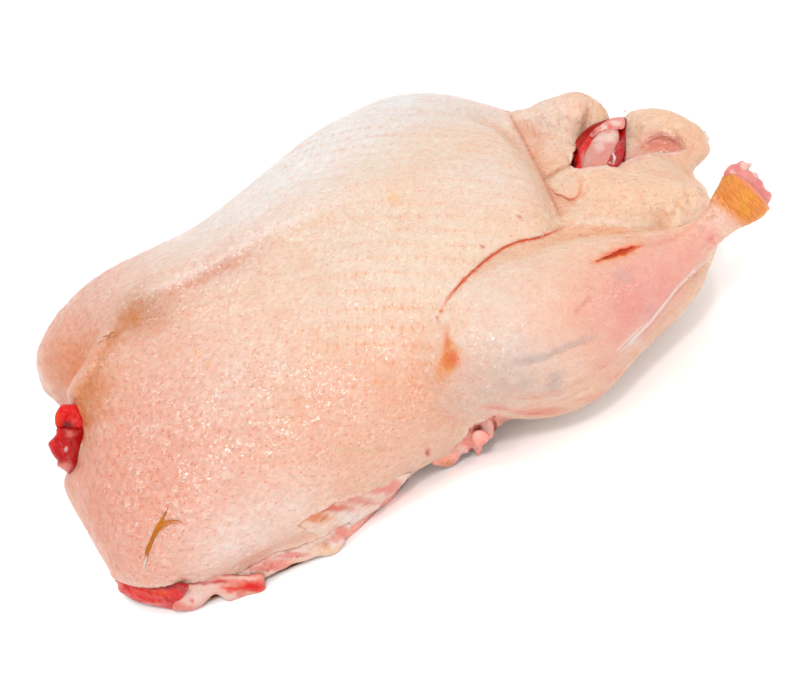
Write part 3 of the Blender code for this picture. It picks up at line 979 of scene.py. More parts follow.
def easedValues(mesh, values, rounds):
    # the values of the points, evened out along the edges
    edges = np.empty(len(mesh.edges) * 2, np.int32)
    mesh.edges.foreach_get("vertices", edges)
    first, second = edges.reshape(-1, 2).T
    size = len(values)
    count = np.bincount(first, minlength=size) + np.bincount(second, minlength=size)
    for step in range(rounds):
        total = [np.bincount(first, column[second], size) + np.bincount(second, column[first], size)
                 for column in values.T]
        values = 0.3 * values + 0.7 * np.stack(total, 1) / count[:, None]
    return values


def easedPoints(mesh, rounds):
    return easedValues(mesh, pointsOf(mesh), rounds)


def soften(mesh, tree):
    # round off the chosen places
    points, eased = pointsOf(mesh), easedPoints(mesh, skin["softRounds"])
    share = np.zeros(len(points))
    for pixel, radius in softened:
        for distance in nearSpots(points, tree, pixel, True):
            share = np.maximum(share, hill(distance, radius))
    points += (eased - points) * share[:, None]
    movePoints(mesh, points)


def hollows(mesh, rounds):
    # how deep each point lies in a fold, in metres, over a neighbourhood that grows with the rounds
    return np.sum((easedPoints(mesh, rounds) - pointsOf(mesh)) * normalsOf(mesh), axis=1)


def skinMap(points, tree):
    # metres over the skin: along the body, and round it from the breastbone
    axisHeight = 0.045
    xs = np.linspace(cadBox[0][0] + 0.001, cadBox[1][0] - 0.012, 90)
    angles = np.linspace(-math.pi, math.pi, 181)
    radius = np.zeros((len(xs), len(angles)))
    for i, x in enumerate(xs):
        centre = Vector((x, 0.0, axisHeight))
        for j, angle in enumerate(angles):
            away = Vector((0.0, math.sin(angle), math.cos(angle)))
            point = tree.ray_cast(centre + away * 0.3, -away)[0]
            radius[i, j] = (point - centre).dot(away) if point else 0.0
    radius = np.maximum(radius, 0.0)
    stepX = xs[1] - xs[0]
    stepAngle = angles[1] - angles[0]
    growX = np.gradient(radius, axis=0)
    growAngle = np.gradient(radius, axis=1) / stepAngle
    along = np.cumsum(np.sqrt(stepX ** 2 + np.clip(growX, -0.012, 0.012) ** 2), axis=0)
    middle = len(xs) // 2
    along = along - along[middle]
    around = np.cumsum(np.sqrt(radius ** 2 + np.clip(growAngle, -0.08, 0.08) ** 2) * stepAngle, axis=1)
    around = around - around[:, len(angles) // 2][:, None]
    fx = np.clip((points[:, 0] - xs[0]) / stepX, 0, len(xs) - 1.001)
    angle = np.arctan2(points[:, 1], points[:, 2] - axisHeight)
    fa = np.clip((angle + math.pi) / stepAngle, 0, len(angles) - 1.001)
    ix, ia = fx.astype(int), fa.astype(int)
    tx, ta = fx - ix, fa - ia

    def sample(grid):
        low = grid[ix, ia] * (1 - ta) + grid[ix, ia + 1] * ta
        high = grid[ix + 1, ia] * (1 - ta) + grid[ix + 1, ia + 1] * ta
        return low * (1 - tx) + high * tx

    return np.stack([sample(along), sample(around)], 1)


def follicleMap(points, tree):
    # rows and columns of feather pits, counted over the skin
    flat = skinMap(points, tree)
    turn = math.radians(skin["rowTurn"])
    u = flat[:, 0] * math.cos(turn) - flat[:, 1] * math.sin(turn)
    v = flat[:, 0] * math.sin(turn) + flat[:, 1] * math.cos(turn)
    wander = softNoise(points, 0.030, 11) * 0.35 + softNoise(points, 0.012, 12) * 0.20
    wanderAcross = softNoise(points, 0.030, 13) * 0.35 + softNoise(points, 0.012, 14) * 0.20
    return np.stack([u / skin["pitAlong"] + wander, v / skin["pitRows"] + wanderAcross * 0.5], 1)


def nearSpots(points, tree, pixel, both):
    # distances from the place that shows at a pixel, and from its twin on the other side
    centre = np.array(hitAt(tree, *pixel)[0])
    for spot in [centre, centre * (1, -1, 1)] if both else [centre]:
        yield awayFrom(points, spot)


def paintAreas(points, tree, tint):
    # the broad colours of the skin
    for pixel, radius, name, strength, both in areas:
        for distance in nearSpots(points, tree, pixel, both):
            paint(tint, name, strength * hill(distance, radius))


def zoneShares(points, tree):
    # how pebbled, brick, smooth and scaly the skin is at each point
    shares = np.zeros((len(points), 4))
    for column, name in enumerate(("pebbled", "brick", "smooth")):
        for pixel, radius, strength in zones[name]:
            for distance in nearSpots(points, tree, pixel, True):
                shares[:, column] = np.maximum(shares[:, column], strength * hill(distance, radius))
    return shares


def facing(points, normals):
    # 1 where the skin faces the camera, -1 where it faces away
    return np.sum(normals * towardsCamera(points), axis=1)


def seenFromCamera(points, normals, tree):
    # which points the camera sees
    look = towardsCamera(points)
    seen = facing(points, normals) > -0.15
    for i in np.nonzero(seen)[0]:
        start = Vector(points[i] + look[i] * 0.0015)
        seen[i] = tree.ray_cast(start, Vector(look[i]))[0] is None
    return seen


def seenNear(px, py, seen, pixels, reach):
    # which seen points show near some pixels
    low, high = pixels.min(0) - reach, pixels.max(0) + reach
    return np.nonzero(seen & (px > low[0]) & (px < high[0]) & (py > low[1]) & (py < high[1]))[0]


def drawLines(points, px, py, look, seen, tint):
    # grooves, ridges and steps along drawn lines, made along the line of sight
    moved = np.zeros_like(points)
    ragged = 1 + 0.30 * softNoise(points, 0.003, 5) + 0.2 * softNoise(points, 0.0012, 6)
    for spec in lines.values():
        spec = {**plainLine, **spec}
        pixels = evenly(spec["pixels"], 5 * len(spec["pixels"]))[:, :2]
        index = seenNear(px, py, seen, pixels, 60)
        distance, along, side = lineDistance(px[index], py[index], pixels)
        rough = ragged[index]
        across = distance * side * spec["lower"] + (rough - 1) * 1.2
        start, end = spec["taper"]
        fade = smoothStep(0.0, start, along) * smoothStep(1.0, 1 - end, along)
        height, width = spec["ease"]
        reach, step = spec["reach"], smoothStep(0.0, spec["edge"], across)
        ease = height * np.where(across < 0, np.clip(1 + across / width, 0, 1) ** 2, hill(across, reach))
        drop = spec["drop"] * step * hill(np.maximum(across, 0), reach)
        groove = spec["groove"] * hill(distance, spec["width"] * rough)
        moved[index] -= look[index] * ((ease + drop + groove) * fade)[:, None]
        paint(tint, spec["colour"], spec["strength"] * hill(distance, spec["spread"] * rough) * fade, index)
    return moved


def drawMarks(points, px, py, seen, tint):
    # stains and spots, and a patch of painted light
    for (x, y), (wide, tall), turn, name, strength in marks:
        c, s = math.cos(math.radians(turn)), math.sin(math.radians(turn))
        reach = 3 * max(wide, tall)
        index = np.nonzero(seen & (np.abs(px - x) < reach) & (np.abs(py - y) < reach))[0]
        dx, dy = px[index] - x, py[index] - y
        size = ((dx * c + dy * s) / wide) ** 2 + ((dy * c - dx * s) / tall) ** 2
        size *= 1 + 0.5 * softNoise(points[index], 0.0022, 8)
        paint(tint, name, strength * np.exp(-size ** 1.5), index)


def drawWrinkles(points, normals, tree):
    # long and short wrinkles in their patches
    moved = np.zeros(len(points))
    for seed, (pixel, radius, direction, length, width, height, both) in enumerate(wrinkles):
        start = np.array(hitAt(tree, *pixel)[0])
        ahead = np.array(hitAt(tree, *(at + 6 * step for at, step in zip(pixel, direction)))[0])
        for mirror in ((1, 1, 1), (1, -1, 1)) if both else ((1, 1, 1),):
            away, run = awayFrom(points, start * mirror), (ahead - start) * mirror
            near = away < 2.2 * radius
            lift = streaks(points[near], run, length, width, 40 + seed)
            lift += 0.5 * streaks(points[near], run, length / 2, width / 2, 60 + seed)
            moved[near] += height * lift * hill(away[near], radius)
    return normals * moved[:, None]


def drawCuts(points, px, py, look, seen, tint):
    # push the skin inside each outline away from the camera, and paint it as flesh, in the flank brighter
    # than flesh as painted light over the shade
    moved = np.zeros_like(points)
    for spec in cuts.values():
        index = seenNear(px, py, seen, np.array(spec["outline"], float), 6)
        inside = insideBy(px[index], py[index], spec["outline"])
        inside += 0.9 * softNoise(points[index], 0.0018, 9) * (inside < 6)
        share = smoothStep(0.0, spec["edge"], inside)
        moved[index] -= look[index] * (spec["depth"] * share)[:, None]
        blend = spec.get("blend", 0.7)
        paint(tint, spec["colour"], smoothStep(0.3 - blend, 0.3 + blend, inside), index)
        paint(tint, "fleshPale", (0.45 if blend < 1 else 0.0) * hill(inside + 1.6, 1.5), index)
    return moved


def paintHocks(points, tint, shares):
    # yellow scaly skin round the joint, pink towards the shank, and the skin ends before the cut
    moved = np.zeros_like(points)
    for spec in hocks.values():
        root, end = np.array(spec["root"]), np.array(spec["end"])
        axis = (end - root) / np.linalg.norm(end - root)
        run = (points - root) @ axis
        away = points - root - run[:, None] * axis
        length = np.linalg.norm(end - root)
        near = (np.linalg.norm(away, axis=1) < spec["radius"]) & (run > -0.02) & (run < length + 0.03)
        ragged = 0.0016 * softNoise(points, 0.005, 17) + 0.0008 * softNoise(points, 0.0018, 18)
        moved += away * (spec["flare"] * smoothStep(0.008, 0.026, run) * near)[:, None]
        band = smoothStep(0.0135, 0.0195, run + ragged) * near
        paint(tint, "scale", 0.92 * band)
        paint(tint, "scaleLight", 0.7 * (band * smoothStep(0.1, 0.9, softNoise(points, 0.006, 19))))
        cut = smoothStep(boneCut - 0.001, boneCut, run + 0.4 * ragged) * near
        paint(tint, "fleshPink", 0.9 * cut)
        moved -= away * (0.12 * cut)[:, None] + np.outer(np.maximum(run - boneCut, 0) * 0.80 * cut, axis)
        wrinkle = streaks(points, np.cross(axis, (0.3, -0.8, 0.5)), 0.010, 0.0011, 20)
        moved += away * (0.020 * wrinkle * band * (1 - cut))[:, None]
        shares[:, 2] = np.maximum(shares[:, 2], band)
        shares[:, 3] = np.maximum(shares[:, 3], band * (1 - cut))
    return moved


sharpLines = ("crease", "breastEnd", "lumpFoot", "tailEdge", "bellyEdge", "ventEdge", "membrane", "tagEdge")


def buildSkin(mesh, smoothTree):
    # finer where it is sharp, then shaped and coloured point by point
    for reach in (4.5, 1.7):
        points = pointsOf(mesh)
        px, py, depth = pixelsOf(points)
        chosen = np.zeros(len(points), bool)
        for name in sharpLines:
            chosen |= lineDistance(px, py, lines[name]["pixels"])[0] < reach
        for spec in cuts.values():
            chosen |= np.abs(insideBy(px, py, spec["outline"])) < reach
        chosen |= (np.hypot(px - 742, py - 195) < 40) & (reach > 4)  # the near hock
        refined(mesh, chosen & (facing(points, normalsOf(mesh)) > -0.1))
        print("refined to", len(mesh.vertices))
    points, normals = pointsOf(mesh), normalsOf(mesh)
    px, py, depth = pixelsOf(points)
    seen = seenFromCamera(points, normals, smoothTree)
    look = towardsCamera(points)
    slant = smoothStep(-0.05, 0.30, facing(points, normals))[:, None]
    tint = np.tile(albedo("warm") * 0.5 + albedo("cream") * 0.5, (len(points), 1))
    paintAreas(points, smoothTree, tint)
    mottle = softNoise(points, 0.011, 3) * 0.6 + softNoise(points, 0.0045, 4) * 0.4
    rosy, pale = skin["mottle"]
    paint(tint, "rosy", np.clip(mottle * rosy, 0, 1))
    paint(tint, "pale", np.clip(-mottle * pale, 0, 1))
    shares = zoneShares(points, smoothTree)
    moved = drawCuts(points, px, py, look, seen, tint)
    drawMarks(points, px, py, seen, tint)
    moved += drawLines(points, px, py, look, seen, tint) * slant
    moved += drawWrinkles(points, normals, smoothTree)
    moved += paintHocks(points, tint, shares)
    pits = follicleMap(points, smoothTree)
    u, v = pits[:, 0], pits[:, 1]
    quilt = (np.cos(2 * math.pi * (u - v)) + np.cos(2 * math.pi * (u + v)) + np.cos(4 * math.pi * v)) / 3
    plain, pebbles, bricks = skin["quilt"]
    height = plain + pebbles * shares[:, 0] + bricks * shares[:, 1]
    height *= 1 + 0.6 * softNoise(points, 0.009, 15)
    moved -= normals * (quilt * height * (1 - 0.7 * shares[:, 2]))[:, None]
    lumps = softNoise(points, 0.0042, 7) * 0.6 + softNoise(points, 0.0022, 16) * 0.4
    plain, pebbles = skin["lumps"]
    moved += normals * (lumps * (plain + pebbles * shares[:, 0]))[:, None]
    points += moved
    points[:, 2] = np.maximum(points[:, 2], cadBox[0][2])
    movePoints(mesh, points)
    # painted shade: the colour darkened and warmed in the folds and hollows
    for rounds, depth, lost in skin["folds"]:
        fold = smoothStep(0.05 * depth, depth, hollows(mesh, rounds)) * (1 - 0.6 * shares[:, 2])
        tint *= 1 - fold[:, None] * lost
    layer = mesh.uv_layers.new(name="follicles")
    loops = np.empty(len(mesh.loops), np.int32)
    mesh.loops.foreach_get("vertex_index", loops)
    layer.data.foreach_set("uv", pits[loops].astype(np.float32).ravel())
    setColours(mesh, "tint", tint)
    setColours(mesh, "zones", shares)
    mesh.calc_loop_triangles()
    print("skin triangles", len(mesh.loop_triangles))


def skinMaterial():
    constants = {
        "Subsurface Weight": 0.45,
        "Subsurface Radius": (1.0, 0.35, 0.20),
        "Subsurface Scale": 0.006,
        "IOR": 1.42,
    }
    material, shader, wire = newMaterial("rawSkin", constants)
    tint = wire.make("Attribute", {"attribute_name": "tint"})
    shares = wire.make("Attribute", {"attribute_name": "zones"})
    pebbled = wire.make("SeparateColor", {}, {0: shares})
    brick, smooth, scaly = pebbled.beside(1), pebbled.beside(2), shares.beside("Alpha")
    place = wire.make("TexCoord", output=3)
    pits = wire.make("UVMap", {"uv_map": "follicles"})
    u = wire.make("SeparateXYZ", {}, {0: pits})
    v = u.beside(1)

    def noise(scale, detail=3.0, roughness=0.6, vector=None):
        inputs = {"Vector": vector or place, "Scale": scale, "Detail": detail, "Roughness": roughness}
        return wire.make("TexNoise", {}, inputs)

    blotches = noise(75.0, 3.0)
    patches = noise(190.0, 4.0, 0.65)
    specks = noise(420.0, 3.0, 0.6)
    fine = noise(760.0, 4.0, 0.65)
    # feather pits in staggered rows, each of its own strength and a little ragged
    skew = wire.make("CombineXYZ", {}, {0: u - v + specks * 0.30, 1: v * 2.0 + fine * 0.30, 2: 0.0})
    lattice = {"Vector": skew, "Scale": 1.0, "Randomness": 0.72}
    cells = wire.make("TexVoronoi", {"voronoi_dimensions": "2D"}, lattice)
    chance = wire.make("SeparateColor", {}, {0: cells.beside(1)})
    # rows of small upright marks before the thigh, like courses of bricks
    rowNear, columnNear = (
        wire.maths("ABSOLUTE", (wire.maths("FRACT", count) - 0.5) * 2.0)
        for count in (v + patches * 0.26 + specks * 0.16, u + patches * 0.5 + specks * 0.35)
    )
    row = rowNear.ramped(0.62, 0.96)
    column = columnNear.ramped(0.60, 1.0)
    broken = patches.ramped(0.30, 0.54)
    marks = (row * (column * 0.6 + 0.4) + column * rowNear.ramped(0.1, 0.9) * 0.40) * broken

    pit = (1.0 - cells.ramped(0.05, 0.16)) * (1.0 - smooth * 0.75)
    halo = 1.0 - (cells + patches * 0.9).ramped(0.45, 0.95)
    rosier = tint.times((1.0, 0.80, 0.74))
    paler = tint.times((1.05, 1.15, 1.18))
    colour = (blotches.ramped(0.38, 0.66) * (0.25 + pebbled * 0.35)).blended(tint, rosier)
    colour = (patches.ramped(0.56, 0.40) * (0.40 + pebbled * 0.25)).blended(colour, paler)
    # a faint web of rosier lines between soft pebbles
    drift = wire.make("CombineXYZ", {}, {0: patches * 0.006, 1: specks * 0.004, 2: fine * 0.003})
    drifted = wire.make("VectorMath", {"operation": "ADD"}, {0: place, 1: drift})
    toEdge = {"feature": "DISTANCE_TO_EDGE"}
    web = wire.make("TexVoronoi", toEdge, {"Vector": drifted, "Scale": 170.0})
    netted = (1.0 - web.ramped(0.02, 0.16)) * (0.26 + pebbled * 0.34) * (1.0 - smooth * 0.7)
    colour = netted.blended(colour, rosier)
    bubbles = wire.make("TexVoronoi", {}, {"Vector": drifted, "Scale": 620.0})
    # pale specks on the pebble tops: partly their own paler tops, partly painted glints
    colour = ((1.0 - bubbles.ramped(0.14, 0.42)) * patches.ramped(0.42, 0.58) * 0.40).blended(colour, paler)
    colour = (halo * (0.10 + pebbled * 0.45)).blended(colour, rosier)
    colour = (marks * (brick * 0.50 + 0.06)).blended(colour, albedo("orange"))
    colour = (specks.ramped(0.56, 0.72) * (0.12 + pebbled * 0.25)).blended(colour, rosier)
    strong = chance.ramped(0.2, 0.9) * (0.25 + pebbled * 0.42) + 0.06 + row * (1.0 - pebbled) * 0.22
    colour = (pit * strong * fine.ramped(0.34, 0.50)).blended(colour, albedo("creaseOrange"))
    # fine dark wrinkles across the scaly hocks
    along, across = (
        wire.make("VectorMath", {"operation": "DOT_PRODUCT"}, {0: place, 1: direction}, 1)
        for direction in ((0.93, 0.0, 0.36), (-0.36, 0.3, 0.93))
    )
    drawnOut = {0: along * 1500.0 + patches * 3.0, 1: across * 150.0, 2: 0.0}
    creases = noise(1.0, 2.0, 0.5, wire.make("CombineXYZ", {}, drawnOut))
    colour = (creases.ramped(0.50, 0.60) * scaly * 0.34).blended(colour, albedo("scaleShade"))
    plug(colour, shader, "Base Color")
    wet = noise(60.0, 3.0)
    plug(wet.ramped(0.40, 0.62, 0.50, 0.36), shader, "Roughness")
    netting = web.ramped(0.0, 0.4)
    relief = fine * (0.14 - smooth * 0.07) + specks * (0.35 + pebbled * 0.25) + patches * 1.3 - pit * 0.22
    relief = relief - marks * brick * 0.25 - creases * scaly * 1.6 + netting * (0.2 + pebbled * 0.5)
    bump = wire.make("Bump", {}, {"Height": relief, "Strength": 1.0, "Distance": 0.0007})
    plug(bump, shader, "Normal")
    # a broken film of water that glints
    mirrorLike = {"Base Color": (1.0, 1.0, 1.0, 1.0), "Metallic": 1.0, "Roughness": skin["glintRoughness"]}
    water = wire.make("BsdfPrincipled", {}, mirrorLike)
    ripples = fine * 0.2 + specks * 0.8 + patches * 0.8 + netting * 0.3
    ripple = {"Height": ripples, "Strength": 1.0, "Distance": skin["glintRelief"]}
    plug(wire.make("Bump", {}, ripple), water.socket.node, "Normal")
    drops = (1.0 - bubbles.ramped(0.22, 0.50)) * specks.ramped(0.40, 0.52) * wet.ramped(0.36, 0.58)
    film = drops * (1.0 - smooth * 0.5) * (1.0 - scaly * 0.4) * skin["glint"]
    mixed = wire.make("MixShader", {}, {0: film, 1: Wire(wire.tree, shader.outputs[0]), 2: water})
    wire.tree.links.new(mixed.socket, wire.tree.nodes["Material Output"].inputs["Surface"])
    return material


skinMesh = evenSkin()
soften(skinMesh, treeOf(skinMesh))
nudge(skinMesh)
print("even skin", len(skinMesh.vertices))
smoothTree = treeOf(skinMesh)
buildSkin(skinMesh, smoothTree)
addPiece("duckSkin", skinMesh, "skin", skinMaterial(), "duck")
print("skin done")

# flesh, flaps and scraps: separate pieces set on the skin

def paintSpots(points, base, spots):
    # colours on a piece, placed as they show in the picture: pixel, radius in pixels, colour, strength
    px, py, depth = pixelsOf(points)
    tint = np.tile(albedo(base), (len(points), 1))
    px = px + 1.6 * softNoise(points, 0.0025, 81) + 0.8 * softNoise(points, 0.0010, 82)
    py = py + 1.6 * softNoise(points, 0.0025, 83) + 0.8 * softNoise(points, 0.0010, 84)
    for (x, y), (wide, tall), name, strength in spots:
        size = ((px - x) / wide) ** 2 + ((py - y) / tall) ** 2
        paint(tint, name, strength * np.exp(-size ** 1.7))
    return tint


floorGap = 0.0002  # pieces lie this much over the floor


def meshOf(name, points, faces):
    mesh = bpy.data.meshes.new(name)
    mesh.from_pydata([tuple(p) for p in points], [], faces)
    bm = bmesh.new()
    bm.from_mesh(mesh)
    bmesh.ops.recalc_face_normals(bm, faces=bm.faces)
    bm.to_mesh(mesh)
    bm.free()
    return mesh


def tubeMesh(name, rings):
    # closed skin over rings of equal count
    count = len(rings[0])
    points = np.concatenate(rings + [rings[0].mean(0)[None], rings[-1].mean(0)[None]])
    faces = []
    for i in range(len(rings) - 1):
        for j in range(count):
            k = (j + 1) % count
            faces.append((i * count + j, i * count + k, (i + 1) * count + k, (i + 1) * count + j))
    first, last = len(points) - 2, len(points) - 1
    base = (len(rings) - 1) * count
    for j in range(count):
        k = (j + 1) % count
        faces.append((first, k, j))
        faces.append((last, base + j, base + k))
    return meshOf(name, points, faces)


def joined(name, meshes):
    bm = bmesh.new()
    for mesh in meshes:
        bm.from_mesh(mesh)
    mesh = bpy.data.meshes.new(name)
    bm.to_mesh(mesh)
    bm.free()
    return mesh


def onHeight(px, py, height):
    # where the camera's ray through a pixel comes down to a height
    eye, look = rayThrough(px, py)
    return eye + look * ((height - eye.z) / look.z)


def anchorDepth(flat, anchors, tree):
    # the depth of a slanting plane through anchor points, at each pixel. An anchor is a pixel with
    # the distance it lies behind the skin there, or with "floor" and its height
    rows, depths = [], []
    eye = rayThrough(0, 0)[0]
    for px, py, kind, amount in anchors:
        point = onHeight(px, py, amount) if kind == "floor" else hitAt(tree, px, py)[0]
        rows.append((1.0, px, py))
        depths.append((point - eye).length + (amount if kind == "skin" else 0.0))
    if len(anchors) < 4:
        return np.full(len(flat), np.mean(depths))
    plane = np.linalg.lstsq(np.array(rows), np.array(depths), rcond=1e-6)[0]
    return plane[0] + plane[1] * flat[:, 0] + plane[2] * flat[:, 1]


def pillowMesh(name, spec, tree):
    # a closed lump of flesh with a given outline in the picture, thickest in its middle
    step = spec.get("step", 0.8)
    length = sum(math.dist(a, b) for a, b in zip(spec["outline"], spec["outline"][1:]))
    outline = evenly(spec["outline"] + spec["outline"][:1], int(length / step) + 1)[:-1, :2]
    low, high = outline.min(0), outline.max(0)
    gx, gy = np.meshgrid(np.arange(low[0], high[0], step), np.arange(low[1], high[1], step))
    grid = np.stack([gx.ravel(), gy.ravel()], 1)
    grid = grid[insideBy(grid[:, 0], grid[:, 1], outline) > step * 0.5]
    flat = np.concatenate([outline, grid])
    made = delaunay_2d_cdt([Vector(p) for p in flat], [], [list(range(len(outline)))], 1, 1e-6)
    flat = np.array([tuple(p) for p in made[0]])
    faces = [tuple(f) for f in made[2]]
    inside = np.maximum(insideBy(flat[:, 0], flat[:, 1], outline), 0)
    depth = anchorDepth(flat, spec["anchors"], tree)
    if "sink" in spec:
        depth = depth + spec["sink"](flat[:, 0], flat[:, 1])
    eye = np.array(rayThrough(0, 0)[0])
    look = np.array([tuple(rayThrough(*p)[1]) for p in flat])
    t = np.clip(inside / spec["rim"], 0, 1)
    dome = np.sqrt(np.maximum(1 - (1 - t) ** 2, 0))
    base = eye + look * depth[:, None]
    size, seed = spec["size"], spec["seed"]
    noise = softNoise(base, size, seed) + 0.5 * softNoise(base, size / 2.3, seed + 1)
    if "ribs" in spec:
        (across, down), width, height = spec["ribs"]
        right, up, back = (np.array(axis) for axis in cameraAxes())
        ribs = streaks(base, across * right - down * up, 0.040, width, seed + 2)
        noise = noise + height / spec["rough"] * ribs
    front = base - look * (spec["puff"] * dome + spec["rough"] * noise * t)[:, None]
    back = base + look * (spec["back"] * dome)[:, None]
    rim = inside < 1e-4
    number = np.where(rim, np.arange(len(flat)), 0)
    number[~rim] = len(flat) + np.arange(np.count_nonzero(~rim))
    allFaces = faces + [tuple(int(number[i]) for i in reversed(f)) for f in faces]
    allFaces = [f for k, f in enumerate(allFaces) if k < len(faces) or any(i >= len(flat) for i in f)]
    points = np.concatenate([front, back[~rim]])
    points[:, 2] = np.maximum(points[:, 2], floorGap)
    return meshOf(name, points, allFaces)


def lumpMesh(name, beads, voxel, seed, rough):
    # round beads run together: place and radius
    bm = bmesh.new()
    for spot, radius in beads:
        made = bmesh.ops.create_icosphere(bm, subdivisions=3, radius=radius)
        bmesh.ops.translate(bm, vec=Vector(spot), verts=made["verts"])
    mesh = bpy.data.meshes.new(name)
    bm.to_mesh(mesh)
    bm.free()
    mesh = remeshed(mesh, voxel, 3)
    points, normals = pointsOf(mesh), normalsOf(mesh)
    bumps = softNoise(points, 0.004, seed) * rough + softNoise(points, 0.0016, seed + 1) * rough * 0.4
    points += normals * bumps[:, None]
    points[:, 2] = np.maximum(points[:, 2], 0.0003)
    movePoints(mesh, points)
    return mesh


def onSkin(tree, px, py, lift=0.0):
    # the place on the skin that shows at a pixel, lifted towards the camera
    spot = np.array(hitAt(tree, px, py)[0])
    return spot + towardsCamera(spot[None])[0] * lift


def strandMesh(name, strands, tree):
    # fine tapering strands lying on the skin: pixels, widths in pixels along them, and lift
    meshes = []
    for pixels, widths, lift in strands:
        count = 8 * len(pixels)
        line = evenly([onSkin(tree, *p, lift) for p in pixels], count)
        wide = np.interp(np.linspace(0, 1, count), np.linspace(0, 1, len(widths)), widths)
        wide = wide / 2 / camera["pixelsPerMetre"]
        rings = []
        for i in range(count):
            ahead = line[min(i + 1, count - 1)] - line[max(i - 1, 0)]
            out = towardsCamera(line[i][None])[0]
            side = np.cross(ahead, out)
            side /= np.linalg.norm(side) + 1e-9
            angle = np.linspace(0, 2 * math.pi, 8, endpoint=False)
            tall = np.minimum(wide[i] * 0.6, 0.0006)
            ring = np.outer(np.cos(angle) * wide[i], side) + np.outer(np.sin(angle) * tall, out)
            rings.append(line[i] + ring)
        meshes.append(tubeMesh(name, rings))
    return joined(name, meshes)


def mirrored(mesh, name):
    # the same form for the other side of the bird
    other = mesh.copy()
    other.name = name
    points = pointsOf(other)
    points[:, 1] *= -1
    movePoints(other, points)
    other.flip_normals()
    return other


def fleshMaterial(name, roughness, grainSize, grainDepth, wetness):
    constants = {
        "Subsurface Weight": 0.15,
        "Subsurface Radius": (1.0, 0.30, 0.22),
        "Subsurface Scale": 0.002,
        "IOR": 1.40,
        "Specular IOR Level": 0.24,
    }
    material, shader, wire = newMaterial(name, constants)
    tint = wire.make("Attribute", {"attribute_name": "tint"})
    place = wire.make("TexCoord", output=3)
    fine = {"Vector": place, "Scale": grainSize, "Detail": 5.0, "Roughness": 0.6}
    fibre = wire.make("TexNoise", {}, fine)
    marble = wire.make("TexNoise", {}, {"Vector": place, "Scale": grainSize * 0.3, "Detail": 3.0})
    colour = (fibre.ramped(0.55, 0.75) * 0.35).blended(tint, tint.times((1.1, 1.5, 1.45)))
    colour = (marble.ramped(0.5, 0.3) * 0.40).blended(colour, tint.times((0.82, 0.62, 0.58)))
    plug(colour, shader, "Base Color")
    plug(marble.ramped(0.35, 0.65, roughness * 1.3, roughness * wetness), shader, "Roughness")
    relief = {"Height": fibre * 0.6 + marble, "Strength": 0.6, "Distance": grainDepth}
    plug(wire.make("Bump", {}, relief), shader, "Normal")
    return material


fleshMaterials = {
    "flesh": fleshMaterial("rawFlesh", 0.24, 480.0, 0.0009, 0.6),
    "membrane": fleshMaterial("paleMembrane", 0.36, 560.0, 0.0007, 0.6),
    "feather": fleshMaterial("featherHorn", 0.50, 900.0, 0.0002, 1.0),
}


def addFlesh(name, mesh, spots, base, slot):
    setColours(mesh, "tint", paintSpots(pointsOf(mesh), base, spots))
    addPiece(name, mesh, slot, fleshMaterials[slot])


def settle(mesh, tree):
    # a mirrored piece moved to lie on the far side's skin as the first one lies on the near side's
    points = pointsOf(mesh)
    centre = points.mean(0)
    first = Vector(centre * (1, -1, 1))
    foot, outward = tree.find_nearest(first)[:2]
    height = max((first - foot).dot(outward), 0.0005)
    place, normal = tree.find_nearest(Vector(centre))[:2]
    points += np.array(place + normal * height) - centre
    points[:, 2] = np.maximum(points[:, 2], floorGap)
    movePoints(mesh, points)


def addBoth(name, spec, tree):
    # on the near side, and mirrored on the far side with the same colours
    mesh, slot = pillowMesh(name, spec, tree), spec["slot"]
    setColours(mesh, "tint", paintSpots(pointsOf(mesh), spec["base"], spec["spots"]))
    other = mirrored(mesh, name + "Left")
    settle(other, tree)
    addPiece(name + "Right", mesh, slot, fleshMaterials[slot])
    addPiece(name + "Left", other, slot, fleshMaterials[slot])


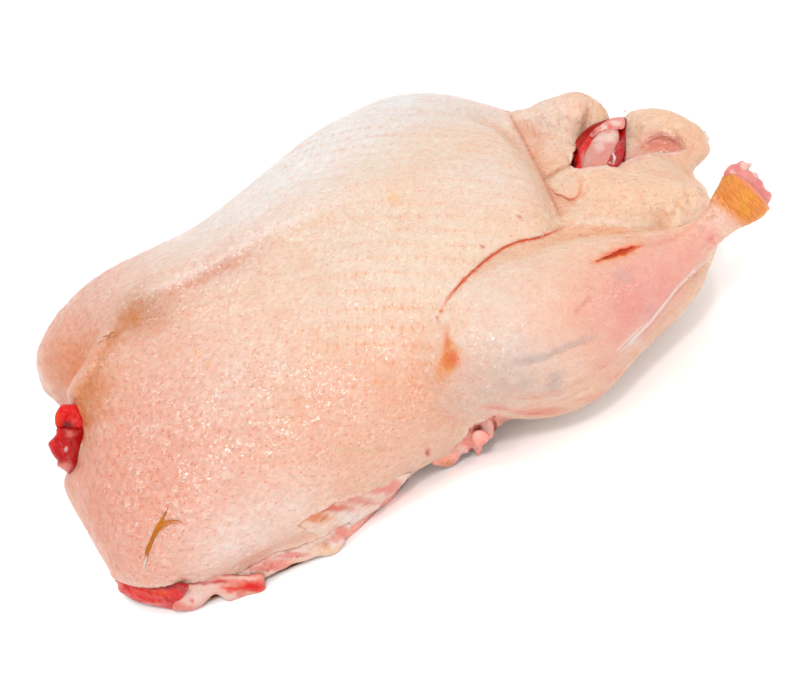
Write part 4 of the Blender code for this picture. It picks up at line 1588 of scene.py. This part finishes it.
bothSides = {
    "wingFlap": {
        "outline": [(172, 578), (186, 575), (200, 573), (222, 574), (245, 575), (262, 573), (265, 582),
            (265.7, 588), (264, 592), (260, 595.6), (252, 596), (245.7, 596.3), (238.6, 600),
            (231.4, 602.4), (225.7, 600), (218.6, 595), (214, 594.6), (208.6, 599), (201.4, 606.3),
            (193, 610.3), (184, 610.6), (173, 609), (175, 600), (181, 592), (178, 586)],
        "anchors": [(165, 583, "skin", 0.003), (205, 579, "skin", 0.003), (255, 578, "skin", 0.0038),
            (170, 609, "floor", 0.003), (215, 600, "floor", 0.002), (258, 596, "floor", 0.002)],
        "rim": 7.0, "puff": 0.003, "back": 0.004, "rough": 0.0012, "size": 0.0042, "seed": 21, "step": 0.7,
        "spots": [((205, 589), (22, 9), "fleshPale", 0.8), ((194, 600), (14, 8), "white", 0.55),
            ((192, 601), (3, 2.4), "creaseOrange", 0.7), ((252, 587), (13, 5.5), "freshRed", 1.0),
            ((232, 588), (12, 2.4), "freshRed", 0.75), ((219, 582), (9, 2.0), "bloodRed", 0.75),
            ((228, 597), (12, 4), "fleshPale", 0.8), ((231, 602), (10, 2.0), "orange", 0.5),
            ((254, 594.5), (10, 2.2), "warm", 0.8), ((193, 583), (20, 1.8), "red", 0.7),
            ((230, 592), (3, 3), "freshRed", 0.6), ((179, 606), (8, 4), "fleshPink", 0.5),
            ((240, 578), (24, 2.2), "fleshPale", 0.6)],
        "base": "fleshPink", "slot": "flesh",
    },
    "wingMeat": {
        "outline": [(114, 579), (130, 582), (150, 584), (168, 584), (184, 583), (189, 587), (186, 593),
            (181, 600), (176, 609.6), (171, 609.4), (158.6, 607), (144, 604), (134, 600.6), (125.7, 595.6),
            (118.6, 590.6), (117.5, 583)],
        "anchors": [(125, 582, "skin", 0.003), (165, 583, "skin", 0.0028), (180, 582, "skin", 0.0026),
            (125, 596, "floor", 0.003), (150, 606, "floor", 0.003), (175, 609, "floor", 0.003)],
        "rim": 7.0, "puff": 0.0034, "back": 0.004, "rough": 0.0011, "size": 0.0036, "seed": 23, "step": 0.7,
        # the dark red along the top is painted shade under the skin's edge
        "spots": [((145, 604), (30, 2.4), "fleshPink", 0.7), ((160, 586), (26, 3.4), "darkRed", 0.85),
            ((182, 588), (6, 6), "red", 0.85), ((163, 594), (5, 4), "creaseOrange", 0.55),
            ((150, 592), (7, 4), "creaseOrange", 0.3), ((126, 587), (4, 4), "bloodRed", 0.5),
            ((135, 593), (6, 3), "creaseOrange", 0.3), ((170, 602), (7, 5), "bloodRed", 0.6),
            ((120, 585), (3.4, 5), "fleshPink", 0.6)],
        "base": "freshRed", "slot": "flesh",
    },
    "flankFold": {
        "outline": [(412, 472), (398, 474), (386, 478), (374, 482), (362, 488), (350, 490), (338, 495),
            (326, 500), (312, 507), (303, 513), (297, 519), (293, 525), (297, 529), (306, 532), (318, 534),
            (330, 533), (340, 531), (350, 528), (355.7, 524), (368, 515), (378.6, 508.6), (383, 502),
            (391, 496), (398.6, 488.6), (406, 481)],
        "anchors": [(402, 476, "skin", 0.004), (370, 488, "skin", 0.006), (330, 504, "skin", 0.007),
            (294, 528, "skin", 0.001), (400, 489, "floor", 0.016), (370, 513, "floor", 0.008),
            (325, 533, "skin", 0.0045)],
        "rim": 8.0, "puff": 0.003, "back": 0.0035, "rough": 0.0006, "size": 0.007, "seed": 25, "step": 0.9,
        "ribs": ((0.64, -0.76), 0.0013, 0.001),
        "spots": [((372, 506), (20, 8), "fleshPale", 0.6), ((348, 517), (22, 7), "pale", 0.75),
            ((336, 526), (16, 4), "fleshPale", 0.5), ((334, 508), (20, 4.5), "deepOrange", 0.75),
            ((314, 517), (13, 5), "deepOrange", 0.65), ((354, 500), (18, 4.5), "deepOrange", 0.5),
            ((320, 518), (20, 6), "orange", 0.5), ((378, 490), (16, 5), "fleshPink", 0.8),
            ((301, 524), (6, 4), "warm", 0.7), ((345, 527), (14, 2.0), "fleshPink", 0.6),
            ((395, 486), (8, 7), "fleshPink", 0.8), ((383, 504), (20, 1.8), "freshRed", 0.35)],
        "base": "fleshPale", "slot": "membrane",
    },
    "flankFat": {
        "outline": [(226, 584), (236, 574), (248, 567), (262, 559), (276, 550), (290, 547), (300, 543),
            (312, 538), (323, 534), (334, 528), (349, 523), (351, 527), (347, 533), (345, 538),
            (343.6, 544), (340, 549), (337, 553), (330, 556), (323, 556), (316, 557), (305, 561),
            (293, 564), (286, 568), (278.6, 571), (271, 575), (264, 578), (252, 583), (238, 586)],
        "anchors": [(248, 567, "skin", 0.0014), (276, 551, "skin", 0.0014), (302, 544, "skin", 0.0016),
            (340, 524, "skin", 0.006), (262, 578, "floor", 0.002), (300, 562, "floor", 0.002),
            (336, 554, "floor", 0.003)],
        "rim": 5.0, "puff": 0.0024, "back": 0.003, "rough": 0.0013, "size": 0.0024, "seed": 27, "step": 0.7,
        "spots": [((334, 550), (14, 6), "peach", 0.8), ((318, 552), (12, 4), "peach", 0.6),
            ((280, 564), (26, 6), "fleshPink", 0.8), ((262, 569), (20, 3), "freshRed", 0.45),
            ((292, 555), (18, 2.6), "freshRed", 0.55), ((342, 532), (8, 6), "fleshPink", 0.9),
            ((334, 539), (10, 3), "freshRed", 0.4), ((333, 545), (2.5, 2.0), "white", 0.9),
            ((298, 561), (12, 2.4), "peach", 0.7), ((316, 543), (20, 5), "fleshPale", 0.6),
            ((240, 578), (12, 4), "fleshPink", 0.6), ((322, 545), (8, 3), "orange", 0.4),
            ((272, 574), (14, 2), "peach", 0.6)],
        "base": "fleshPale", "slot": "membrane",
    },
    "scrapSheet": {
        "outline": [(490, 417), (493, 423), (494, 428), (493.4, 435.7), (490.6, 439), (483.4, 444),
            (482.7, 448), (479.5, 455), (476, 456.4), (475, 451.4), (472.7, 448), (470, 449), (467.7, 453),
            (462, 454), (459, 458.6), (453.4, 465), (446, 467), (439, 466), (432, 464), (436, 458),
            (446, 450), (455, 440), (464, 430), (470, 422), (480, 418)],
        "anchors": [(440, 462, "skin", 0.004), (462, 436, "skin", 0.005), (482, 420, "skin", 0.005),
            (450, 465, "floor", 0.006), (478, 452, "floor", 0.007), (492, 430, "floor", 0.01)],
        "rim": 5.0, "puff": 0.0026, "back": 0.003, "rough": 0.0012, "size": 0.004, "seed": 35, "step": 0.7,
        "sink": lambda px, py: 0.004 * np.exp(-((px - 477) / 3.2) ** 2 - ((py - 428) / 5.5) ** 2),
        # the dark red in the sunk hole is painted shade
        "spots": [((477, 428), (3.0, 4.6), "darkRed", 0.9), ((484, 428), (4, 8), "ventPink", 0.5),
            ((460, 450), (8, 6), "fleshPale", 0.7), ((446, 463), (8, 3.5), "orange", 0.7),
            ((466, 440), (5, 7), "fleshPink", 0.6), ((456, 452), (4, 3), "freshRed", 0.25),
            ((476, 452), (3, 4), "ventPink", 0.8), ((470, 446), (4, 3), "freshRed", 0.3),
            ((486, 426), (6, 9), "fleshPale", 0.5)],
        # the base is painted light, brighter than the flesh, over the scrap's shade
        "base": "paintedLightPink", "slot": "flesh",
    },
    "scrapBulb": {
        "outline": [(471, 439), (472, 433.5), (476, 430.5), (481, 430), (486, 432), (489, 436), (488, 441),
            (484, 445), (479, 447), (474, 445)],
        "anchors": [(462, 436, "skin", 0.002), (482, 420, "skin", 0.001), (478, 452, "floor", 0.01),
            (470, 440, "floor", 0.012)],
        "rim": 8.0, "puff": 0.004, "back": 0.003, "rough": 0.0003, "size": 0.004, "seed": 37, "step": 0.7,
        "spots": [((477, 436), (4, 4), "fleshPale", 0.6), ((484, 443), (5, 3), "freshRed", 0.35)],
        # the base is painted light, brighter than the flesh, over the bulb's shade
        "base": "paintedLightPink", "slot": "flesh",
    },
}
opening = {
    "wall": {
        "outline": [(566, 174), (569, 153), (575, 141), (584, 131), (592, 125), (602, 121), (613, 118),
            (626, 118), (626, 135), (626, 155), (623, 166), (610, 170), (595, 172), (580, 173)],
        "behind": 0.01, "rim": 6, "puff": 0.001,
        "spots": [((571, 162), (3.4, 9), "darkRed", 0.95), ((612, 155), (9, 10), "bloodRed", 0.8)],
        "base": "red", "slot": "flesh",
    },
    "leftEdge": {
        "outline": [(573, 170), (574, 160), (577, 152), (581, 145), (586, 138), (591, 134), (595, 137),
            (590, 146), (587, 155), (585, 164), (582, 171)],
        "behind": 0.0074, "rim": 4, "puff": 0.0018,
        # gapShade at the bottom is painted shade in the gap there
        "spots": [((577, 154), (2.0, 8), "red", 0.5), ((575, 166), (2.4, 5), "gapShade", 0.8),
            ((586, 143), (3, 5), "red", 0.4), ((583, 160), (2.4, 8), "membranePink", 0.7)],
        "base": "freshRed", "slot": "flesh",
    },
    "web": {
        "outline": [(581, 172), (582, 163), (585, 153), (590, 143), (596, 135), (603, 129), (611, 126),
            (618, 130), (619, 141), (616, 150), (612, 158), (608, 166), (604, 176), (586, 177)],
        "behind": 0.0064, "rim": 12, "puff": 0.0026,
        "spots": [((604, 137), (11, 5), "fleshPale", 0.75), ((599, 145), (5, 8), "fleshPale", 0.6),
            ((588, 158), (3.0, 9), "mauve", 0.5), ((595, 160), (6, 6), "pink", 0.4),
            ((592, 148), (2.0, 9), "deepRosy", 0.5), ((612, 136), (5, 6), "fleshPale", 0.6),
            ((608, 153), (2.6, 7), "pink", 0.5), ((589, 143), (2.4, 6), "freshRed", 0.4),
            ((601, 164), (7, 3), "orange", 0.3)],
        "base": "membranePink", "slot": "membrane",
    },
    "rightFlesh": {
        "outline": [(602, 171), (607, 163), (611, 154), (615, 147), (619, 141), (624, 140), (624, 153),
            (621, 163), (614, 169)],
        "behind": 0.0052, "rim": 4, "puff": 0.002,
        "spots": [((613.5, 157), (1.3, 7), "white", 0.9), ((619, 150), (3, 8), "freshRed", 0.5),
            ((608, 167), (4, 3), "freshRed", 0.6)],
        "base": "red", "slot": "flesh",
    },
    "fibres": {
        "outline": [(589, 135), (595, 128.5), (602, 124), (609, 119), (616, 117), (624, 118), (624, 128),
            (615, 130), (606, 130.5), (599, 133), (593, 138)],
        "behind": 0.0052, "rim": 3, "puff": 0.0012,
        "spots": [((604, 127), (3, 3), "fleshPale", 0.9), ((610, 126), (2.4, 2.4), "freshRed", 0.5),
            ((616, 123), (6, 3), "fleshPale", 0.9), ((594, 133), (4, 3), "red", 0.6),
            ((599, 129), (2.4, 2), "fleshPink", 0.7), ((619, 128), (2, 4), "freshRed", 0.5)],
        "base": "pink", "slot": "membrane",
    },
}
neck = {
    "neckUpper": {
        "outline": [(82, 403), (72, 404), (62, 404.5), (58.6, 408), (56, 412), (54.8, 416), (54.6, 421),
            (55.6, 426), (59, 430), (66, 432), (74, 433), (84, 432), (87, 420)],
        "anchors": [(84, 412, "skin", 0.009)],
        "rim": 8.0, "puff": 0.0038, "back": 0.006, "rough": 0.0007, "size": 0.0042, "seed": 31, "step": 0.6,
        "spots": [((68, 427), (6, 6), "darkRed", 0.95), ((57, 418), (4, 7), "creaseOrange", 0.4),
            ((62, 412), (4, 3), "freshRed", 0.5)],
        "base": "freshRed", "slot": "flesh",
    },
    "neckMain": {
        "outline": [(86, 426), (76, 426), (66, 426), (58, 427), (56, 430), (55.7, 434), (52, 438.6),
            (48.6, 442), (48, 445), (49.6, 449), (51.4, 453), (54.5, 457.6), (57, 461), (57, 466),
            (61, 468.6), (66, 472), (69, 474), (77, 472), (84, 462), (89, 445)],
        "anchors": [(84, 445, "skin", 0.01)],
        "rim": 12.0, "puff": 0.0062, "back": 0.008, "rough": 0.001, "size": 0.005, "seed": 33, "step": 0.6,
        "spots": [((62, 446), (10, 12), "bloodRed", 0.95), ((52, 446), (4, 7), "freshRed", 0.7),
            ((64, 467), (9, 6), "pink", 0.8), ((70, 434), (5, 4), "fleshPink", 0.55),
            # the small white spot is a painted glint
            ((60, 459), (6, 4), "red", 0.6), ((65, 449), (1.6, 3), "white", 0.5),
            ((58, 434), (4, 4), "freshRed", 0.6)],
        "base": "red", "slot": "flesh",
    },
}
layerShape = {"back": 0.0015, "rough": 0.0007, "size": 0.004, "step": 0.7}  # shared by the opening's layers


def buildFlesh(tree):
    for name, spec in bothSides.items():
        addBoth(name, spec, tree)
    edge = cuts["opening"]["outline"][::2]
    layers = {}
    for seed, (name, layer) in enumerate(opening.items()):
        anchors = [(x, y, "skin", layer["behind"]) for x, y in edge]
        layers["opening" + name.capitalize()] = {**layerShape, **layer, "seed": 50 + seed, "anchors": anchors}
    for name, spec in {**layers, **neck}.items():
        addFlesh(name, pillowMesh(name, spec, tree), spec["spots"], spec["base"], spec["slot"])


buildFlesh(smoothTree)
print("flesh done")

# the gristle on the cut ends of the hocks: across, in depth, along the bone, radius
gristle = [
    (-0.0082, 0.002, 0.0, 0.0046), (-0.0074, 0.002, 0.0046, 0.0034), (-0.006, 0.001, 0.0078, 0.0016),
    (-0.003, 0.003, 0.001, 0.005), (-0.001, 0.001, 0.005, 0.0024), (0.0036, 0.002, 0.0014, 0.005),
    (0.009, 0.002, 0.001, 0.0042), (0.0108, 0.001, -0.0014, 0.0026), (0.004, -0.005, 0.0006, 0.005),
    (-0.005, -0.005, 0.0006, 0.005),
]


def buildHocks(tree):
    for side, spec in hocks.items():
        root, end = np.array(spec["root"]), np.array(spec["end"])
        axis = (end - root) / np.linalg.norm(end - root)
        look = towardsCamera(end[None])[0]
        across = np.cross(axis, look)
        across /= np.linalg.norm(across)
        inward = np.cross(across, axis)
        if inward @ look < 0:
            inward = -inward
        middle = root + axis * 0.0325
        beads = [(middle + across * c + inward * d + axis * a, r) for c, d, a, r in gristle]
        mesh = lumpMesh("hockGristle", beads, 0.00055, 71, 0.0005)
        nudge(mesh)
        points = pointsOf(mesh)
        tint = np.tile(albedo("gristle"), (len(points), 1))
        paint(tint, "shankPink", smoothStep(-0.1, 0.5, softNoise(points, 0.0040, 73)) * 0.50)
        paint(tint, "fleshPale", smoothStep(0.1, 0.6, softNoise(points, 0.0034, 74)) * 0.7)
        paint(tint, "white", 0.7 * smoothStep(0.0060, 0.0085, (points - middle) @ axis))
        setColours(mesh, "tint", tint)
        addPiece("hockGristle" + side, mesh, "flesh", fleshMaterials["flesh"])


buildHocks(smoothTree)
print("hocks done")

# small frayed bits of skin edge and fat: pixel, height over the skin, radius
frays = [
    (625, 111, -0.0003, 0.0007), (624, 120, -0.0004, 0.0006), (607, 166, -0.0002, 0.0007),
    (610, 163, -0.0002, 0.0008), (613, 161, -0.0002, 0.0006), (616, 163, -0.0002, 0.0007),
    (605, 167.5, -0.0004, 0.0006), (661, 152, -0.0004, 0.0006), (664, 150, -0.0004, 0.0006),
    (667, 152, -0.0004, 0.0007), (670, 149, -0.0004, 0.0005), (663, 154, -0.0004, 0.0005),
    (543, 235, -0.0004, 0.0006), (541, 236.5, -0.0004, 0.0005), (627, 236, -0.0005, 0.0006),
    (692, 274, -0.0005, 0.0006), (693, 268, -0.0005, 0.0005), (689, 278, -0.0005, 0.0005),
    (571, 168, -0.0004, 0.0006), (577, 170, -0.0004, 0.0005),
]

strands = {
    "feather": [
        (
            ((168, 507), (165, 514), (161, 521), (157, 529), (153, 538), (149, 548), (146, 558), (144, 567)),
            (0.4, 2.4, 3.8, 4.2, 3.6, 2.6, 2.0, 0.9),
            0.0004,
        ),
        (((163, 520), (158, 530), (152, 540), (147, 548), (145, 556)), (0.6, 2.2, 2.6, 1.8, 0.5), 0.0006),
        (
            ((155, 533), (160, 526), (166, 522), (172, 520.5), (178, 521), (183, 524)),
            (2.4, 2.8, 2.4, 1.6, 1.0, 0.4),
            0.0006,
        ),
        (((158, 531), (165, 526), (172, 523), (178, 523)), (1.6, 1.6, 1.0, 0.4), 0.0009),
        (((165, 512), (160, 524), (154, 536), (149, 545)), (0.5, 1.0, 1.2, 0.5), 0.001),
        (((150, 545), (147, 555), (145, 563), (143.5, 568)), (1.2, 1.5, 1.2, 0.6), 0.0009),
    ],
    "hairs": [
        (((333, 452), (345, 450), (357, 451), (370, 449), (381, 450)), (0.4, 0.7, 0.7, 0.5, 0.3), 0.0002),
        (((352, 447), (362, 451), (374, 453)), (0.3, 0.6, 0.3), 0.0002),
        (((368, 452), (378, 446), (386, 447)), (0.3, 0.6, 0.3), 0.0002),
    ],
    "stubs": [(((108, 336), (111, 333), (115, 332)), (0.5, 1.2, 0.4), 0.0003),
        (((101, 338), (105, 336), (110, 336)), (0.4, 1.0, 0.4), 0.0003),
        (((106, 341), (108, 338), (111, 337)), (0.4, 0.9, 0.3), 0.0003),
        (((112, 337), (115, 336), (118, 334)), (0.4, 0.8, 0.3), 0.0003),
        (((98, 345), (100, 342), (103, 341)), (0.3, 0.7, 0.3), 0.0003)],
    "strings": [
        (((616, 356), (624, 348), (632, 339), (641, 329), (650, 319)), (0.6, 1.2, 1.4, 1.2, 0.5), 0.0001),
        (((622, 350), (630, 345), (638, 335), (646, 326)), (0.5, 1.0, 1.0, 0.5), 0.0002),
        (((640, 333), (650, 322), (659, 311), (668, 300), (677, 289)), (0.6, 1.2, 1.2, 1.2, 0.6), 0.0001),
        (((674, 292), (684, 281), (694, 272), (705, 262)), (0.6, 1.1, 1.1, 0.5), 0.0001),
    ],
}


fraySpots = [((664, 149), (9, 6), "white", 0.8), ((612, 163), (8, 6), "yellow", 0.35)]
featherSpots = [((144, 566), (5, 9), "white", 0.9), ((160, 522), (12, 8), "scale", 0.35)]


def buildSmallThings(tree):
    beads = [(onSkin(tree, x, y, lift), radius) for x, y, lift, radius in frays]
    mesh = lumpMesh("frayedEdges", beads, 0.00030, 75, 0.0002)
    addFlesh("frayedEdges", mesh, fraySpots, "fleshPale", "membrane")
    for name, base, spots, slot in (
        ("feather", "featherBrown", featherSpots, "feather"), ("hairs", "hairCream", [], "feather"),
        ("stubs", "olive", [], "feather"), ("strings", "white", [], "membrane"),
    ):
        addFlesh(name, strandMesh(name, strands[name], tree), spots, base, slot)


buildSmallThings(smoothTree)
print("small things done")
